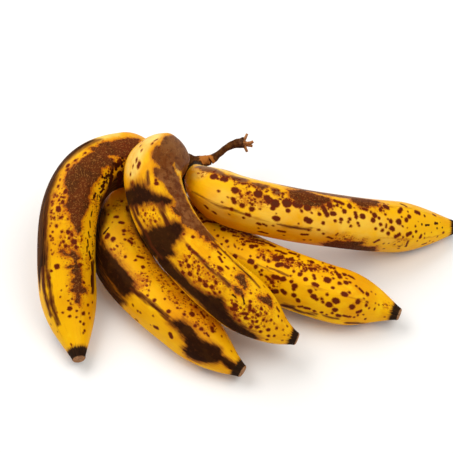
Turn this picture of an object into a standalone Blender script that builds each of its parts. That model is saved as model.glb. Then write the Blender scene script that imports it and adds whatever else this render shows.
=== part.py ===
# A hand of ripe bananas lying on its bellies, joined at one crown, with the neck of a torn-off banana.
# Sizes and places below are millimetres. The meshes are metres, +Z up, standing on z = 0.
import math

import bmesh
import bpy
import numpy as np
from mathutils import Vector

mm = 0.001

# Driving dimensions shared by every banana
neckRadius = 5.2
tipRadius = 4.5
tipNubLength = 1.5
tipNubTaper = 0.06
tipRoundness = 1.9
tipFullness = 1.2
bodySag = 0.05
ridgeCount = 5
ridgeHeight = 0.03
sagMiddle = 0.55         # where along the banana the body is thickest, as a share of its length
swellReach = 28          # how far a swell spreads along the banana
sidesAround = 25
ringsAlong = 30
splineSteps = 1200
sharpAngle = 50          # degrees; sharper edges than this stay crisp in the shading
coneSides = 20

# Pieces that touch in the real bunch keep this gap
fitGap = 0.3

# The cubes that cut away everything below the table and behind the crown are larger than the bunch
cutterSize = 400

# Moves the bunch from where it was laid out to the bottom centre of its own box
placeOnTable = Vector((-18.9, 36.2, 0.0))

# Each path runs from the crown along the middle of the banana to its tip.
# The neck widens over the shoulder to the body radius, which closes again over the tip length.
# A swell makes the body thicker round one place, so far along from the crown.
bananas = {
    "banana_left": {
        "path": [(-46, 39, 26), (-54, 37, 31.3), (-63, 29.8, 41.7), (-76, 20.7, 49.5), (-91.6, 8.4, 54.9),
                 (-105.4, -16, 50.6), (-108.3, -44.7, 36.7), (-106, -76, 18), (-101, -98, 11.5),
                 (-96.8, -115.3, 9.5)],
        "radius": 19.4, "neck": -5, "shoulder": 43, "tip": 49, "ridgeTurn": 36,
    },
    "banana_front_left": {
        "path": [(-41, 37, 14.5), (-45, 27, 15), (-54.2, 18.6, 14.3), (-65.8, 7.6, 15.1), (-74.6, -12.4, 18.4),
                 (-72.2, -38, 19.1), (-54.5, -67.4, 19), (-22.2, -96.8, 15.7), (0, -116.6, 11.4),
                 (10.9, -124.3, 10)],
        "radius": 18.5, "neck": 8, "shoulder": 37, "tip": 46, "ridgeTurn": 33, "swell": 2.6, "swellAt": 74,
    },
    "banana_top": {
        "path": [(-35, 35, 37), (-39, 22.2, 51.9), (-45.6, 3.6, 68.6), (-49, -7.8, 71.4), (-48, -19.1, 68.3),
                 (-41, -38.2, 61.1), (-26, -59, 52.7), (-1.8, -81.9, 43.9), (20.5, -95.2, 32.6),
                 (34, -102.2, 25.2), (46.2, -106.5, 21.4)],
        "radius": 19.2, "neck": 9, "shoulder": 32, "tip": 46, "ridgeTurn": 10,
    },
    "banana_front_right": {
        "path": [(-28, 37, 15), (-33, 27, 15), (-33, 10, 16.2), (-23.5, -15, 17.6), (7.2, -39.6, 18.6),
                 (43, -59, 19), (76.2, -70.8, 17.2), (101, -75.6, 12.6), (116.6, -82.1, 12.2)],
        "radius": 19.2, "neck": 20, "shoulder": 32, "tip": 43, "ridgeTurn": 29,
    },
    "banana_right": {
        "path": [(-22, 35, 25), (-21.5, 26.5, 33), (-17, 3.3, 47.2), (-4.8, -10.7, 52), (20, -20.5, 51.5),
                 (58, -23, 42.6), (100, -18.5, 28), (131, -11.5, 15.2), (149, -8.8, 11), (165, -7.3, 9.2)],
        "radius": 18.2, "neck": 11, "shoulder": 50, "tip": 48, "ridgeTurn": 63,
    },
}

# The top banana lies over its neighbours and doesn't reach the table
restingBananas = ["banana_left", "banana_front_left", "banana_front_right", "banana_right"]

# The neck left by a banana that was torn off, thinnest in the middle and open at its end
tornNeck = {
    "path": [(-11.7, 39.7, 27.5), (-5.5, 43.7, 29.5), (0, 47.8, 31.5), (5.6, 50, 33), (12.8, 50.3, 34.5)],
    "radii": [3.6, 2.5, 2.5, 3.0, 3.8],
    "rings": 12,
    "sides": 14,
}

# Strips of peel that still stand on the torn end, each reaching from just inside it to its tip
tornStrips = {
    "rootInset": 1.2,
    "width": 2.4,
    "thickness": 1.1,
    "stations": [(0.0, 1.0), (0.55, 0.8), (1.0, 0.3)],   # place along a strip and its share of full width
    "tips": [(2.8, 4.8, 5.0), (7.6, 0.6, 1.8), (7.6, -1.8, -0.4), (2.8, -5.4, -4.4)],
}

# The crown is a flattened cushion with a cut back, and a short root in front of each neck
crown = {
    "centre": (-34.5, 41.0, 19.0),
    "halfSize": (15.5, 9.0, 13.0),
    "cutBackY": 48.0,
    "rootRadius": 5.7,
    "rootLength": 11.0,
    "tornRootStart": (-26.0, 41.0, 22.0),
    "tornRootRadius": 5.2,
    "segments": 28,
    "rings": 16,
}


# Collections and the empty that carries the bunch

def clearScene():
    for item in list(bpy.data.objects):
        bpy.data.objects.remove(item, do_unlink=True)


def makeCollection(name):
    collection = bpy.data.collections.new(name)
    bpy.context.scene.collection.children.link(collection)
    return collection


def addObject(name, mesh, collection, carrier):
    item = bpy.data.objects.new(name, mesh)
    item.parent = carrier
    collection.objects.link(item)
    return item


def hideAsCutter(item):
    item.hide_render = True
    item.display_type = "WIRE"


def makeMaterial(name, colour, roughness):
    material = bpy.data.materials.new(name)
    material.use_nodes = True
    shader = material.node_tree.nodes["Principled BSDF"]
    shader.inputs["Base Color"].default_value = (*colour, 1.0)
    shader.inputs["Roughness"].default_value = roughness
    shader.inputs["Metallic"].default_value = 0.0
    material.diffuse_color = (*colour, 1.0)
    return material


# Shapes swept along a smooth path

def smoothStep(value):
    held = np.clip(value, 0.0, 1.0)
    return held * held * (3.0 - 2.0 * held)


def splineThrough(points, samples):
    # A natural cubic spline through the points, read at even steps of length
    knots = np.array(points, float)
    steps = np.linalg.norm(np.diff(knots, axis=0), axis=1)
    places = np.concatenate([[0.0], np.cumsum(steps)])
    system = np.eye(len(knots))
    bends = np.zeros_like(knots)
    for i in range(1, len(knots) - 1):
        system[i, i - 1:i + 2] = steps[i - 1], 2.0 * (steps[i - 1] + steps[i]), steps[i]
        bends[i] = 6.0 * ((knots[i + 1] - knots[i]) / steps[i] - (knots[i] - knots[i - 1]) / steps[i - 1])
    bends = np.linalg.solve(system, bends)
    fine = np.linspace(0.0, places[-1], splineSteps)
    span = np.clip(np.searchsorted(places, fine) - 1, 0, len(steps) - 1)
    width = steps[span][:, None]
    before = (fine - places[span])[:, None]
    after = width - before
    curve = (bends[span] * after ** 3 + bends[span + 1] * before ** 3) / (6.0 * width)
    curve += (knots[span] / width - bends[span] * width / 6.0) * after
    curve += (knots[span + 1] / width - bends[span + 1] * width / 6.0) * before
    run = np.concatenate([[0.0], np.cumsum(np.linalg.norm(np.diff(curve, axis=0), axis=1))])
    wanted = np.asarray(samples) * run[-1]
    centres = np.stack([np.interp(wanted, run, curve[:, k]) for k in range(3)], axis=1)
    return centres, wanted


def carriedFrames(centres):
    # Two directions across the path at each ring, upright halfway along and carried without twist
    tangents = np.gradient(centres, axis=0)
    tangents /= np.linalg.norm(tangents, axis=1)[:, None]
    ups = np.zeros_like(centres)
    middle = len(centres) // 2
    ups[middle] = (0.0, 0.0, 1.0)
    order = [(i, i - 1) for i in range(middle + 1, len(centres))]
    order += [(i, i + 1) for i in range(middle - 1, -1, -1)]
    ups[middle] -= tangents[middle] * np.dot(ups[middle], tangents[middle])
    ups[middle] /= np.linalg.norm(ups[middle])
    for here, previous in order:
        carried = ups[previous] - tangents[here] * np.dot(ups[previous], tangents[here])
        ups[here] = carried / np.linalg.norm(carried)
    return tangents, ups, np.cross(tangents, ups)


def loftMesh(name, rings):
    # Closes the rings into one skin with a flat cap at each end
    builder = bmesh.new()
    loops = [[builder.verts.new(Vector(point) * mm) for point in ring] for ring in rings]
    for lower, upper in zip(loops, loops[1:]):
        for i in range(len(lower)):
            j = (i + 1) % len(lower)
            builder.faces.new((lower[i], lower[j], upper[j], upper[i]))
    builder.faces.new(loops[0])
    builder.faces.new(loops[-1])
    bmesh.ops.recalc_face_normals(builder, faces=builder.faces)
    mesh = bpy.data.meshes.new(name)
    builder.to_mesh(mesh)
    builder.free()
    mesh.shade_smooth()
    mesh.set_sharp_from_angle(angle=math.radians(sharpAngle))
    return mesh


# The bananas

def bananaRadii(distance, length, banana):
    neckToBody = smoothStep((distance - banana["neck"]) / banana["shoulder"])
    body = neckRadius + (banana["radius"] - neckRadius) * neckToBody
    swollen = np.exp(-((distance - banana.get("swellAt", 0.0)) / swellReach) ** 2)
    body = body + banana.get("swell", 0.0) * swollen
    fromMiddle = (distance / length - sagMiddle) / (1.0 - sagMiddle)
    body = body * (1.0 - bodySag * fromMiddle ** 2)
    closing = np.clip((distance - (length - tipNubLength - banana["tip"])) / banana["tip"], 0.0, 1.0)
    open_ = (1.0 - closing ** tipRoundness) ** tipFullness
    nub = tipRadius * (1.0 - tipNubTaper * smoothStep((distance - length) / tipNubLength + 1.0))
    return body * open_ + nub * (1.0 - open_), neckToBody * open_


def bananaRings(banana, grow=0.0):
    # Rings crowd together toward the neck and the tip, where the girth changes fastest
    even = np.linspace(0.0, 1.0, ringsAlong)
    crowded = 0.5 - 0.5 * np.cos(math.pi * even)
    centres, distance = splineThrough(banana["path"], 0.5 * even + 0.5 * crowded)
    tangents, ups, sides = carriedFrames(centres)
    radii, ridged = bananaRadii(distance, distance[-1], banana)
    centres[0] -= tangents[0] * grow
    turned = np.linspace(0.0, 2.0 * math.pi, sidesAround, endpoint=False)
    ridge = ridgeHeight * np.cos(ridgeCount * turned)
    around = turned + math.radians(banana["ridgeTurn"])
    rings = []
    for i, centre in enumerate(centres):
        reach = radii[i] * (1.0 + ridged[i] * ridge) + grow
        across = np.outer(np.cos(around), ups[i]) + np.outer(np.sin(around), sides[i])
        rings.append(centre + across * reach[:, None])
    return rings


def makeBananas(parts, cutters, carrier, peel):
    # The bellies that lie on the table are flattened at z = 0
    builder = bmesh.new()
    bmesh.ops.create_cube(builder, size=cutterSize * mm)
    bmesh.ops.translate(builder, vec=(0, 0, -cutterSize * mm / 2), verts=builder.verts)
    tableMesh = bpy.data.meshes.new("table_cut")
    builder.to_mesh(tableMesh)
    builder.free()
    table = addObject("table_cut", tableMesh, cutters, carrier)
    hideAsCutter(table)
    for name, banana in bananas.items():
        item = addObject(name, loftMesh(name, bananaRings(banana)), parts, carrier)
        item.data.materials.append(peel)
        if name in restingBananas:
            cut = item.modifiers.new("flat_belly", "BOOLEAN")
            cut.operation = "DIFFERENCE"
            cut.object = table


# The crown and the torn neck

def coneBetween(name, start, end, startRadius, endRadius):
    axis = Vector(end) - Vector(start)
    builder = bmesh.new()
    bmesh.ops.create_cone(builder, cap_ends=True, segments=coneSides, radius1=startRadius * mm,
                          radius2=endRadius * mm, depth=axis.length * mm)
    turn = Vector((0, 0, 1)).rotation_difference(axis)
    bmesh.ops.rotate(builder, matrix=turn.to_matrix(), verts=builder.verts)
    middle = (Vector(start) + Vector(end)) / 2
    bmesh.ops.translate(builder, vec=middle * mm, verts=builder.verts)
    mesh = bpy.data.meshes.new(name)
    builder.to_mesh(mesh)
    builder.free()
    return mesh


def addBoolean(item, other, operation):
    modifier = item.modifiers.new(operation.lower(), "BOOLEAN")
    modifier.operation = operation
    modifier.object = other


def makeCrown(parts, cutters, carrier, bark):
    builder = bmesh.new()
    bmesh.ops.create_uvsphere(builder, u_segments=crown["segments"], v_segments=crown["rings"], radius=1.0)
    bmesh.ops.scale(builder, vec=Vector(crown["halfSize"]) * mm, verts=builder.verts)
    bmesh.ops.translate(builder, vec=Vector(crown["centre"]) * mm, verts=builder.verts)
    mesh = bpy.data.meshes.new("crown")
    builder.to_mesh(mesh)
    builder.free()
    pad = addObject("crown", mesh, parts, carrier)
    pad.data.materials.append(bark)

    # The back was cut flat when the hand was taken off its stalk
    builder = bmesh.new()
    bmesh.ops.create_cube(builder, size=cutterSize * mm)
    backCentre = (crown["centre"][0], crown["cutBackY"] + cutterSize / 2, crown["centre"][2])
    bmesh.ops.translate(builder, vec=Vector(backCentre) * mm, verts=builder.verts)
    backMesh = bpy.data.meshes.new("back_cut")
    builder.to_mesh(backMesh)
    builder.free()

    shapes = []
    for name, banana in bananas.items():
        start = Vector(banana["path"][0])
        ahead = (Vector(banana["path"][1]) - start).normalized()
        inside = start - ahead * crown["rootLength"]
        shapes.append((name + "_root", coneBetween(name + "_root", inside, start,
                                                   crown["rootRadius"], crown["rootRadius"]), "UNION"))
    shapes.append(("torn_root", coneBetween("torn_root", crown["tornRootStart"], tornNeck["path"][0],
                                            crown["tornRootRadius"], tornNeck["radii"][0]), "UNION"))
    shapes.append(("back_cut", backMesh, "DIFFERENCE"))
    for name, banana in bananas.items():
        shapes.append((name + "_seat", loftMesh(name + "_seat", bananaRings(banana, fitGap)), "DIFFERENCE"))
    shapes.append(("torn_seat", tornNeckMesh("torn_seat", fitGap)[0], "DIFFERENCE"))
    for name, shape, operation in shapes:
        cutter = addObject(name, shape, cutters, carrier)
        hideAsCutter(cutter)
        addBoolean(pad, cutter, operation)


def stripMesh(name, root, tip):
    # A peel strip is a flat bar that narrows to its tip
    along = (tip - root).normalized()
    flat = along.cross(Vector((0, 0, 1))).normalized()
    thick = along.cross(flat).normalized()
    rings = []
    for place, share in tornStrips["stations"]:
        centre = root.lerp(tip, place)
        width = flat * (tornStrips["width"] / 2 * share)
        height = thick * (tornStrips["thickness"] / 2 * share)
        rings.append([centre + width + height, centre - width + height,
                      centre - width - height, centre + width - height])
    return loftMesh(name, rings)


def tornNeckMesh(name, grow=0.0):
    even = np.linspace(0.0, 1.0, tornNeck["rings"])
    centres, _ = splineThrough(tornNeck["path"], even)
    tangents, ups, sides = carriedFrames(centres)
    radii = np.interp(even, np.linspace(0.0, 1.0, len(tornNeck["radii"])), tornNeck["radii"])
    centres[0] -= tangents[0] * grow
    around = np.linspace(0.0, 2.0 * math.pi, tornNeck["sides"], endpoint=False)
    rings = []
    for i, centre in enumerate(centres):
        across = np.outer(np.cos(around), ups[i]) + np.outer(np.sin(around), sides[i])
        rings.append(centre + across * (radii[i] + grow))
    return loftMesh(name, rings), Vector(centres[-1]), Vector(tangents[-1])


def makeTornNeck(parts, cutters, carrier, bark):
    mesh, end, ahead = tornNeckMesh("torn_neck")
    neck = addObject("torn_neck", mesh, parts, carrier)
    neck.data.materials.append(bark)
    root = end - ahead * tornStrips["rootInset"]
    for number, reach in enumerate(tornStrips["tips"], start=1):
        name = f"strip_{number}"
        side = Vector(reach).normalized() * tornStrips["rootInset"]
        strip = addObject(name, stripMesh(name, root + side, root + Vector(reach)), cutters, carrier)
        hideAsCutter(strip)
        addBoolean(neck, strip, "UNION")


def main():
    clearScene()
    parts = makeCollection("banana_bunch")
    cutters = makeCollection("cutters")
    carrier = bpy.data.objects.new("bunch_origin", None)
    carrier.location = placeOnTable * mm
    parts.objects.link(carrier)
    peel = makeMaterial("banana_peel", (0.80, 0.45, 0.02), 0.42)
    bark = makeMaterial("dried_stem", (0.06, 0.03, 0.015), 0.7)
    makeBananas(parts, cutters, carrier, peel)
    makeCrown(parts, cutters, carrier, bark)
    makeTornNeck(parts, cutters, carrier, bark)


main()
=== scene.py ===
import math

import bmesh
import bpy
import numpy as np
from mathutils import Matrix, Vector, noise


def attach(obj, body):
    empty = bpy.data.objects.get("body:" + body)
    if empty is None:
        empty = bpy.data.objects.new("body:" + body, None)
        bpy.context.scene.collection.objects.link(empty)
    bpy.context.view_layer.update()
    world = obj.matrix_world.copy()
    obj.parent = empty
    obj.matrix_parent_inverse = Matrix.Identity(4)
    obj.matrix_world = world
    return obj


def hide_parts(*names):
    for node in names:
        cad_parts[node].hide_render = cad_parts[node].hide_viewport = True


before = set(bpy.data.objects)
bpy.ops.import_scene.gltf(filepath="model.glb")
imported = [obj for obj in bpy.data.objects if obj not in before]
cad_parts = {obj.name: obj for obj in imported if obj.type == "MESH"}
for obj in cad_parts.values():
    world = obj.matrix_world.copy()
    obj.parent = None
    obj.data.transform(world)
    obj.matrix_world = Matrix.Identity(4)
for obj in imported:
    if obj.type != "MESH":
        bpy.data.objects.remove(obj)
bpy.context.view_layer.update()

mm = 0.001
tiny = 1e-9       # keeps a division away from zero
farOff = 1e9      # more than any distance here
placeOnTable = np.array((-18.9, 36.2, 0.0))   # from where the bunch was laid out to its own box


def linear(hexColour):
    channels = [int(hexColour[i:i + 2], 16) / 255 for i in (1, 3, 5)]
    bent = [c / 12.92 if c <= 0.04045 else ((c + 0.055) / 1.055) ** 2.4 for c in channels]
    return (*bent, 1.0)


def addNode(material, kind, sockets=None, **settings):
    # Sockets are given by name or number, as a value or as another node's output
    tree = material.node_tree
    node = tree.nodes.new("ShaderNode" + kind)
    for name, value in settings.items():
        setattr(node, name, value)
    for key, value in (sockets or {}).items():
        if isinstance(value, bpy.types.NodeSocket):
            tree.links.new(value, node.inputs[key])
        else:
            node.inputs[key].default_value = value
    return node


def newMaterial(name):
    material = bpy.data.materials.new(name)
    material.use_nodes = True
    material.node_tree.nodes.clear()
    return material


def maskOf(material, *conditions):
    # Where all of these hold: masks, shares, or a value with the low and high that it fades in between
    product = None
    for condition in conditions:
        if isinstance(condition, tuple):
            value, low, high, *top = condition
            sockets = {"Value": value, "From Min": low, "From Max": high, "To Max": top[0] if top else 1.0}
            condition = addNode(material, "MapRange", sockets, interpolation_type="SMOOTHSTEP").outputs[0]
        if product is not None:
            condition = addNode(material, "Math", {0: product, 1: condition}, operation="MULTIPLY").outputs[0]
        product = condition
    return product


def layOver(material, colour, *layers):
    # Lays colours over a first one in turn, each through the mask that its conditions make
    for shade, *conditions in layers:
        over = linear(shade) if isinstance(shade, str) else shade
        sockets = {0: maskOf(material, *conditions), 6: colour, 7: over}
        colour = addNode(material, "Mix", sockets, data_type="RGBA").outputs[2]
    return colour


def weighted(material, total, *parts):
    # Adds up values, each times its weight
    for value, weight in parts:
        sockets = {0: value, 1: weight, 2: total}
        total = addNode(material, "Math", sockets, operation="MULTIPLY_ADD").outputs[0]
    return total


def ragged(material, depth, *edges):
    # A depth in millimetres whose edge is uneven, by plus or minus the amount that goes with each noise
    inset = sum(amount for _, amount in edges)
    start = addNode(material, "Math", {0: depth, 1: inset}, operation="SUBTRACT").outputs[0]
    return weighted(material, start, *((pattern, 2.0 * amount) for pattern, amount in edges))


def anyOf(material, mask, *others):
    for other in others:
        mask = addNode(material, "Math", {0: mask, 1: other}, operation="MAXIMUM").outputs[0]
    return mask


def addPiece(name, mesh, material):
    mesh.shade_smooth()
    mesh.materials.clear()
    mesh.materials.append(material)
    piece = bpy.data.objects.new(name, mesh)
    bpy.context.scene.collection.objects.link(piece)
    return piece


# The camera, at the photograph's viewing angle

cameraView = {
    "target": (-18.9, 36.2, 0.0),
    "elevation": 54.0,
    "distance": 800.0,
    "mmPerPixel": 0.725,     # at the target
    "pictureSide": 453,
    "sensor": 36.0,
    "clipStart": 10.0,
}


def cameraAxes():
    tilt = math.radians(cameraView["elevation"])
    back = np.array((0.0, -math.cos(tilt), math.sin(tilt)))
    up = np.array((0.0, math.sin(tilt), math.cos(tilt)))
    return back, up


def pictureScale():
    # Pixels for one millimetre at one millimetre away
    return cameraView["distance"] / cameraView["mmPerPixel"]


def seenAt(points):
    # Where points in millimetres fall in the picture, in pixels
    back, up = cameraAxes()
    away = points - np.array(cameraView["target"])
    depth = cameraView["distance"] - away @ back
    middle = cameraView["pictureSide"] / 2
    return middle + pictureScale() * away[..., 0] / depth, middle - pictureScale() * (away @ up) / depth


def makeCamera():
    back, _ = cameraAxes()
    eye = np.array(cameraView["target"]) + back * cameraView["distance"]
    lens = bpy.data.cameras.new("camera")
    lens.sensor_width = cameraView["sensor"]
    lens.lens = cameraView["sensor"] * pictureScale() / cameraView["pictureSide"]
    lens.clip_start = cameraView["clipStart"] * mm
    camera = bpy.data.objects.new("camera", lens)
    camera.location = Vector(eye) * mm
    camera.rotation_euler = (math.radians(90.0 - cameraView["elevation"]), 0.0, 0.0)
    bpy.context.scene.collection.objects.link(camera)
    bpy.context.scene.camera = camera
    return eye


# Light: a bright overcast room, one window high behind the fruit on the left, and a lamp on the right

studio = {
    "floorColour": "#F7F6F4",
    "floorSize": 4000.0,
    "floorDrop": 0.1,        # keeps the floor clear of the flats that the fruit rests on
    "floorRoughness": 0.9,
    "roomColour": "#FFFFFF",
    "roomStrength": 0.52,
    "lamps": {
        "windowLeft": {"at": (-550, 350, 900), "size": (900, 700), "watts": 7.4, "colour": "#FFFFFF"},
        "ceilingRight": {"at": (500, -150, 1050), "size": (900, 700), "watts": 5.4, "colour": "#FFFDF8"},
    },
}


def makeStudio():
    scene = bpy.context.scene
    scene.view_settings.view_transform = "Standard"
    room = bpy.data.worlds.new("room")
    scene.world = room
    room.use_nodes = True
    background = room.node_tree.nodes["Background"]
    background.inputs["Color"].default_value = linear(studio["roomColour"])
    background.inputs["Strength"].default_value = studio["roomStrength"]
    for name, lamp in studio["lamps"].items():
        light = bpy.data.lights.new(name, "AREA")
        light.shape = "RECTANGLE"
        light.size, light.size_y = lamp["size"][0] * mm, lamp["size"][1] * mm
        light.energy = lamp["watts"]
        light.color = linear(lamp["colour"])[:3]
        holder = bpy.data.objects.new(name, light)
        holder.location = Vector(lamp["at"]) * mm
        holder.rotation_euler = Vector(lamp["at"]).to_track_quat("Z", "Y").to_euler()
        scene.collection.objects.link(holder)

    builder = bmesh.new()
    bmesh.ops.create_grid(builder, x_segments=1, y_segments=1, size=studio["floorSize"] * mm / 2)
    bmesh.ops.translate(builder, vec=(0, 0, -studio["floorDrop"] * mm), verts=builder.verts)
    mesh = bpy.data.meshes.new("floor")
    builder.to_mesh(mesh)
    builder.free()
    floor = bpy.data.objects.new("floor", mesh)
    scene.collection.objects.link(floor)
    paper = newMaterial("matte_paper_sweep")   # matte paper: no gloss, light falls off it evenly
    shader = addNode(paper, "BsdfPrincipled", {"Base Color": linear(studio["floorColour"]),
                                               "Roughness": studio["floorRoughness"]})
    addNode(paper, "OutputMaterial", {"Surface": shader.outputs[0]})
    mesh.materials.append(paper)


# The bananas: each path runs from the crown along the middle of the fruit to its tip. The neck ends at
# "neck" along it, and "shoulder" and "tip" are how long it swells and closes. "ridgeTurn" is in degrees,
# "swell" thickens the fruit round "swellAt", and "blackTip" is how far the tip has died back.

peelShape = {
    "neckRadius": 5.2,
    "tipRadius": 4.5,
    "tipNubLength": 1.5,
    "tipNubTaper": 0.06,
    "tipRoundness": 1.9,
    "tipFullness": 1.2,
    "nubEdge": 1.2,
    "nubEdgeCut": 0.25,
    "bodySag": 0.05,
    "fullestAt": 0.55,       # shares of the length: where the body is fullest, and how far off it has sagged
    "sagReach": 0.45,
    "swellReach": 28.0,
    "ridgeCount": 5,
    "ridgeHeights": (0.027, 0.008, 0.003),   # of the ridge and its two sharper overtones
    "neckRidge": 0.05,
    "neckFibres": ((7, 1.3, 0.6), (17, 1.0, 0.3)),   # their number, their turn and their height
    "fibreReach": 0.5,       # of the shoulder
    "lump": 0.010,
    "lumpWaves": 9,
    "lumpLength": 120.0,
    "scarRows": 9,
    "scarHollow": 0.5,
    "scarRim": 0.9,
    "scarCork": 3.0,
    "blackNeck": 20.0,
    "sidesAround": 184,
    "rowsAlong": 452,
    "rowEasing": 0.4,        # how far the rows crowd towards both ends
    "tableSoftness": 0.4,
    "leastRadius": 0.5,
    "patternGap": 300.0,     # keeps the patterns of two bananas apart
}

bananas = {
    "banana_left": {
        "path": [(-46, 39, 26), (-54, 37, 31.3), (-63, 29.8, 41.7), (-76, 20.7, 49.5), (-91.6, 8.4, 54.9),
                 (-105.4, -16, 50.6), (-108.3, -44.7, 36.7), (-106, -76, 18), (-101, -98, 11.5),
                 (-96.8, -115.3, 9.5)],
        "radius": 19.4, "neck": -5, "shoulder": 43, "tip": 49, "ridgeTurn": 36, "blackTip": 5.5,
    },
    "banana_front_left": {
        "path": [(-41, 37, 14.5), (-45, 27, 15), (-54.2, 18.6, 14.3), (-65.8, 7.6, 15.1),
                 (-74.6, -12.4, 18.4),
                 (-72.2, -38, 19.1), (-54.5, -67.4, 19), (-22.2, -96.8, 15.7), (0, -116.6, 11.4),
                 (10.9, -124.3, 10)],
        "radius": 18.5, "neck": 8, "shoulder": 37, "tip": 46, "ridgeTurn": 33, "swell": 2.6, "swellAt": 74,
        "blackTip": 4.2,
    },
    "banana_top": {
        "path": [(-35, 35, 37), (-39, 22.2, 51.9), (-45.6, 3.6, 68.6), (-49, -7.8, 71.4), (-48, -19.1, 68.3),
                 (-41, -38.2, 61.1), (-26, -59, 52.7), (-1.8, -81.9, 43.9), (20.5, -95.2, 32.6),
                 (34, -102.2, 25.2), (46.2, -106.5, 21.4)],
        "radius": 19.2, "neck": 9, "shoulder": 32, "tip": 46, "ridgeTurn": 10, "blackTip": 4.0,
    },
    "banana_front_right": {
        "path": [(-28, 37, 15), (-33, 27, 15), (-33, 10, 16.2), (-23.5, -15, 17.6), (7.2, -39.6, 18.6),
                 (43, -59, 19), (76.2, -70.8, 17.2), (101, -75.6, 12.6), (116.6, -82.1, 12.2)],
        "radius": 19.2, "neck": 20, "shoulder": 32, "tip": 43, "ridgeTurn": 29, "blackTip": 4.2,
    },
    "banana_right": {
        "path": [(-22, 35, 25), (-21.5, 26.5, 33), (-17, 3.3, 47.2), (-4.8, -10.7, 52), (20, -20.5, 51.5),
                 (58, -23, 42.6), (100, -18.5, 28), (131, -11.5, 15.2), (149, -8.8, 11), (165, -7.3, 9.2)],
        "radius": 18.2, "neck": 11, "shoulder": 50, "tip": 48, "ridgeTurn": 63, "blackTip": 5.0,
    },
}


def smoothStep(value):
    held = np.clip(value, 0.0, 1.0)
    return held * held * (3.0 - 2.0 * held)


def splineThrough(points, samples, fineSteps=4000):
    # A natural cubic spline through the points, read at even steps of length
    knots = np.array(points, float)
    steps = np.linalg.norm(np.diff(knots, axis=0), axis=1)
    places = np.concatenate([[0.0], np.cumsum(steps)])
    system = np.eye(len(knots))
    bends = np.zeros_like(knots)
    for i in range(1, len(knots) - 1):
        system[i, i - 1:i + 2] = steps[i - 1], 2.0 * (steps[i - 1] + steps[i]), steps[i]
        bends[i] = 6.0 * ((knots[i + 1] - knots[i]) / steps[i] - (knots[i] - knots[i - 1]) / steps[i - 1])
    bends = np.linalg.solve(system, bends)
    fine = np.linspace(0.0, places[-1], fineSteps)
    span = np.clip(np.searchsorted(places, fine) - 1, 0, len(steps) - 1)
    width = steps[span][:, None]
    before = (fine - places[span])[:, None]
    after = width - before
    curve = (bends[span] * after ** 3 + bends[span + 1] * before ** 3) / (6.0 * width)
    curve += (knots[span] / width - bends[span] * width / 6.0) * after
    curve += (knots[span + 1] / width - bends[span + 1] * width / 6.0) * before
    run = np.concatenate([[0.0], np.cumsum(np.linalg.norm(np.diff(curve, axis=0), axis=1))])
    wanted = np.asarray(samples) * run[-1]
    centres = np.stack([np.interp(wanted, run, curve[:, k]) for k in range(3)], axis=1)
    return centres, wanted


def carriedFrames(centres, middle):
    # Two directions across the path at each row, upright halfway along and carried without twist
    tangents = np.gradient(centres, axis=0)
    tangents /= np.linalg.norm(tangents, axis=1)[:, None]
    ups = np.zeros_like(centres)
    ups[middle] = (0.0, 0.0, 1.0)
    order = [(i, i - 1) for i in range(middle + 1, len(centres))]
    order += [(i, i + 1) for i in range(middle - 1, -1, -1)]
    ups[middle] -= tangents[middle] * np.dot(ups[middle], tangents[middle])
    ups[middle] /= np.linalg.norm(ups[middle])
    for here, previous in order:
        carried = ups[previous] - tangents[here] * np.dot(ups[previous], tangents[here])
        ups[here] = carried / np.linalg.norm(carried)
    return tangents, ups, np.cross(tangents, ups)


def waves(seed, across, along, count, longest, shortest=0.35, mostTurns=3, phase=6.28):
    # Smooth random relief from a few crossed waves, between about -1 and 1
    chance = np.random.default_rng(seed)
    total = np.zeros(np.broadcast(across, along).shape)
    for _ in range(count):
        turns = chance.integers(0, mostTurns + 1)
        stretch = 2.0 * math.pi / (longest * chance.uniform(shortest, 1.0))
        crossing = np.sin(turns * across + chance.uniform(0, phase))
        total += crossing * np.sin(stretch * along + chance.uniform(0, phase))
    return total / math.sqrt(count)


unrollRadius = 19.0
markReach = 14.0         # how far a mark's depth is followed, inside and out
leastFacing = 0.03       # the camera doesn't see skin that faces it less than this
outsidePixels = 1.2      # a pixel this far from the nearest skin lies outside the outline
skinPixels = 0.6         # how far a pixel may be from skin that it does lie on


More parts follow.
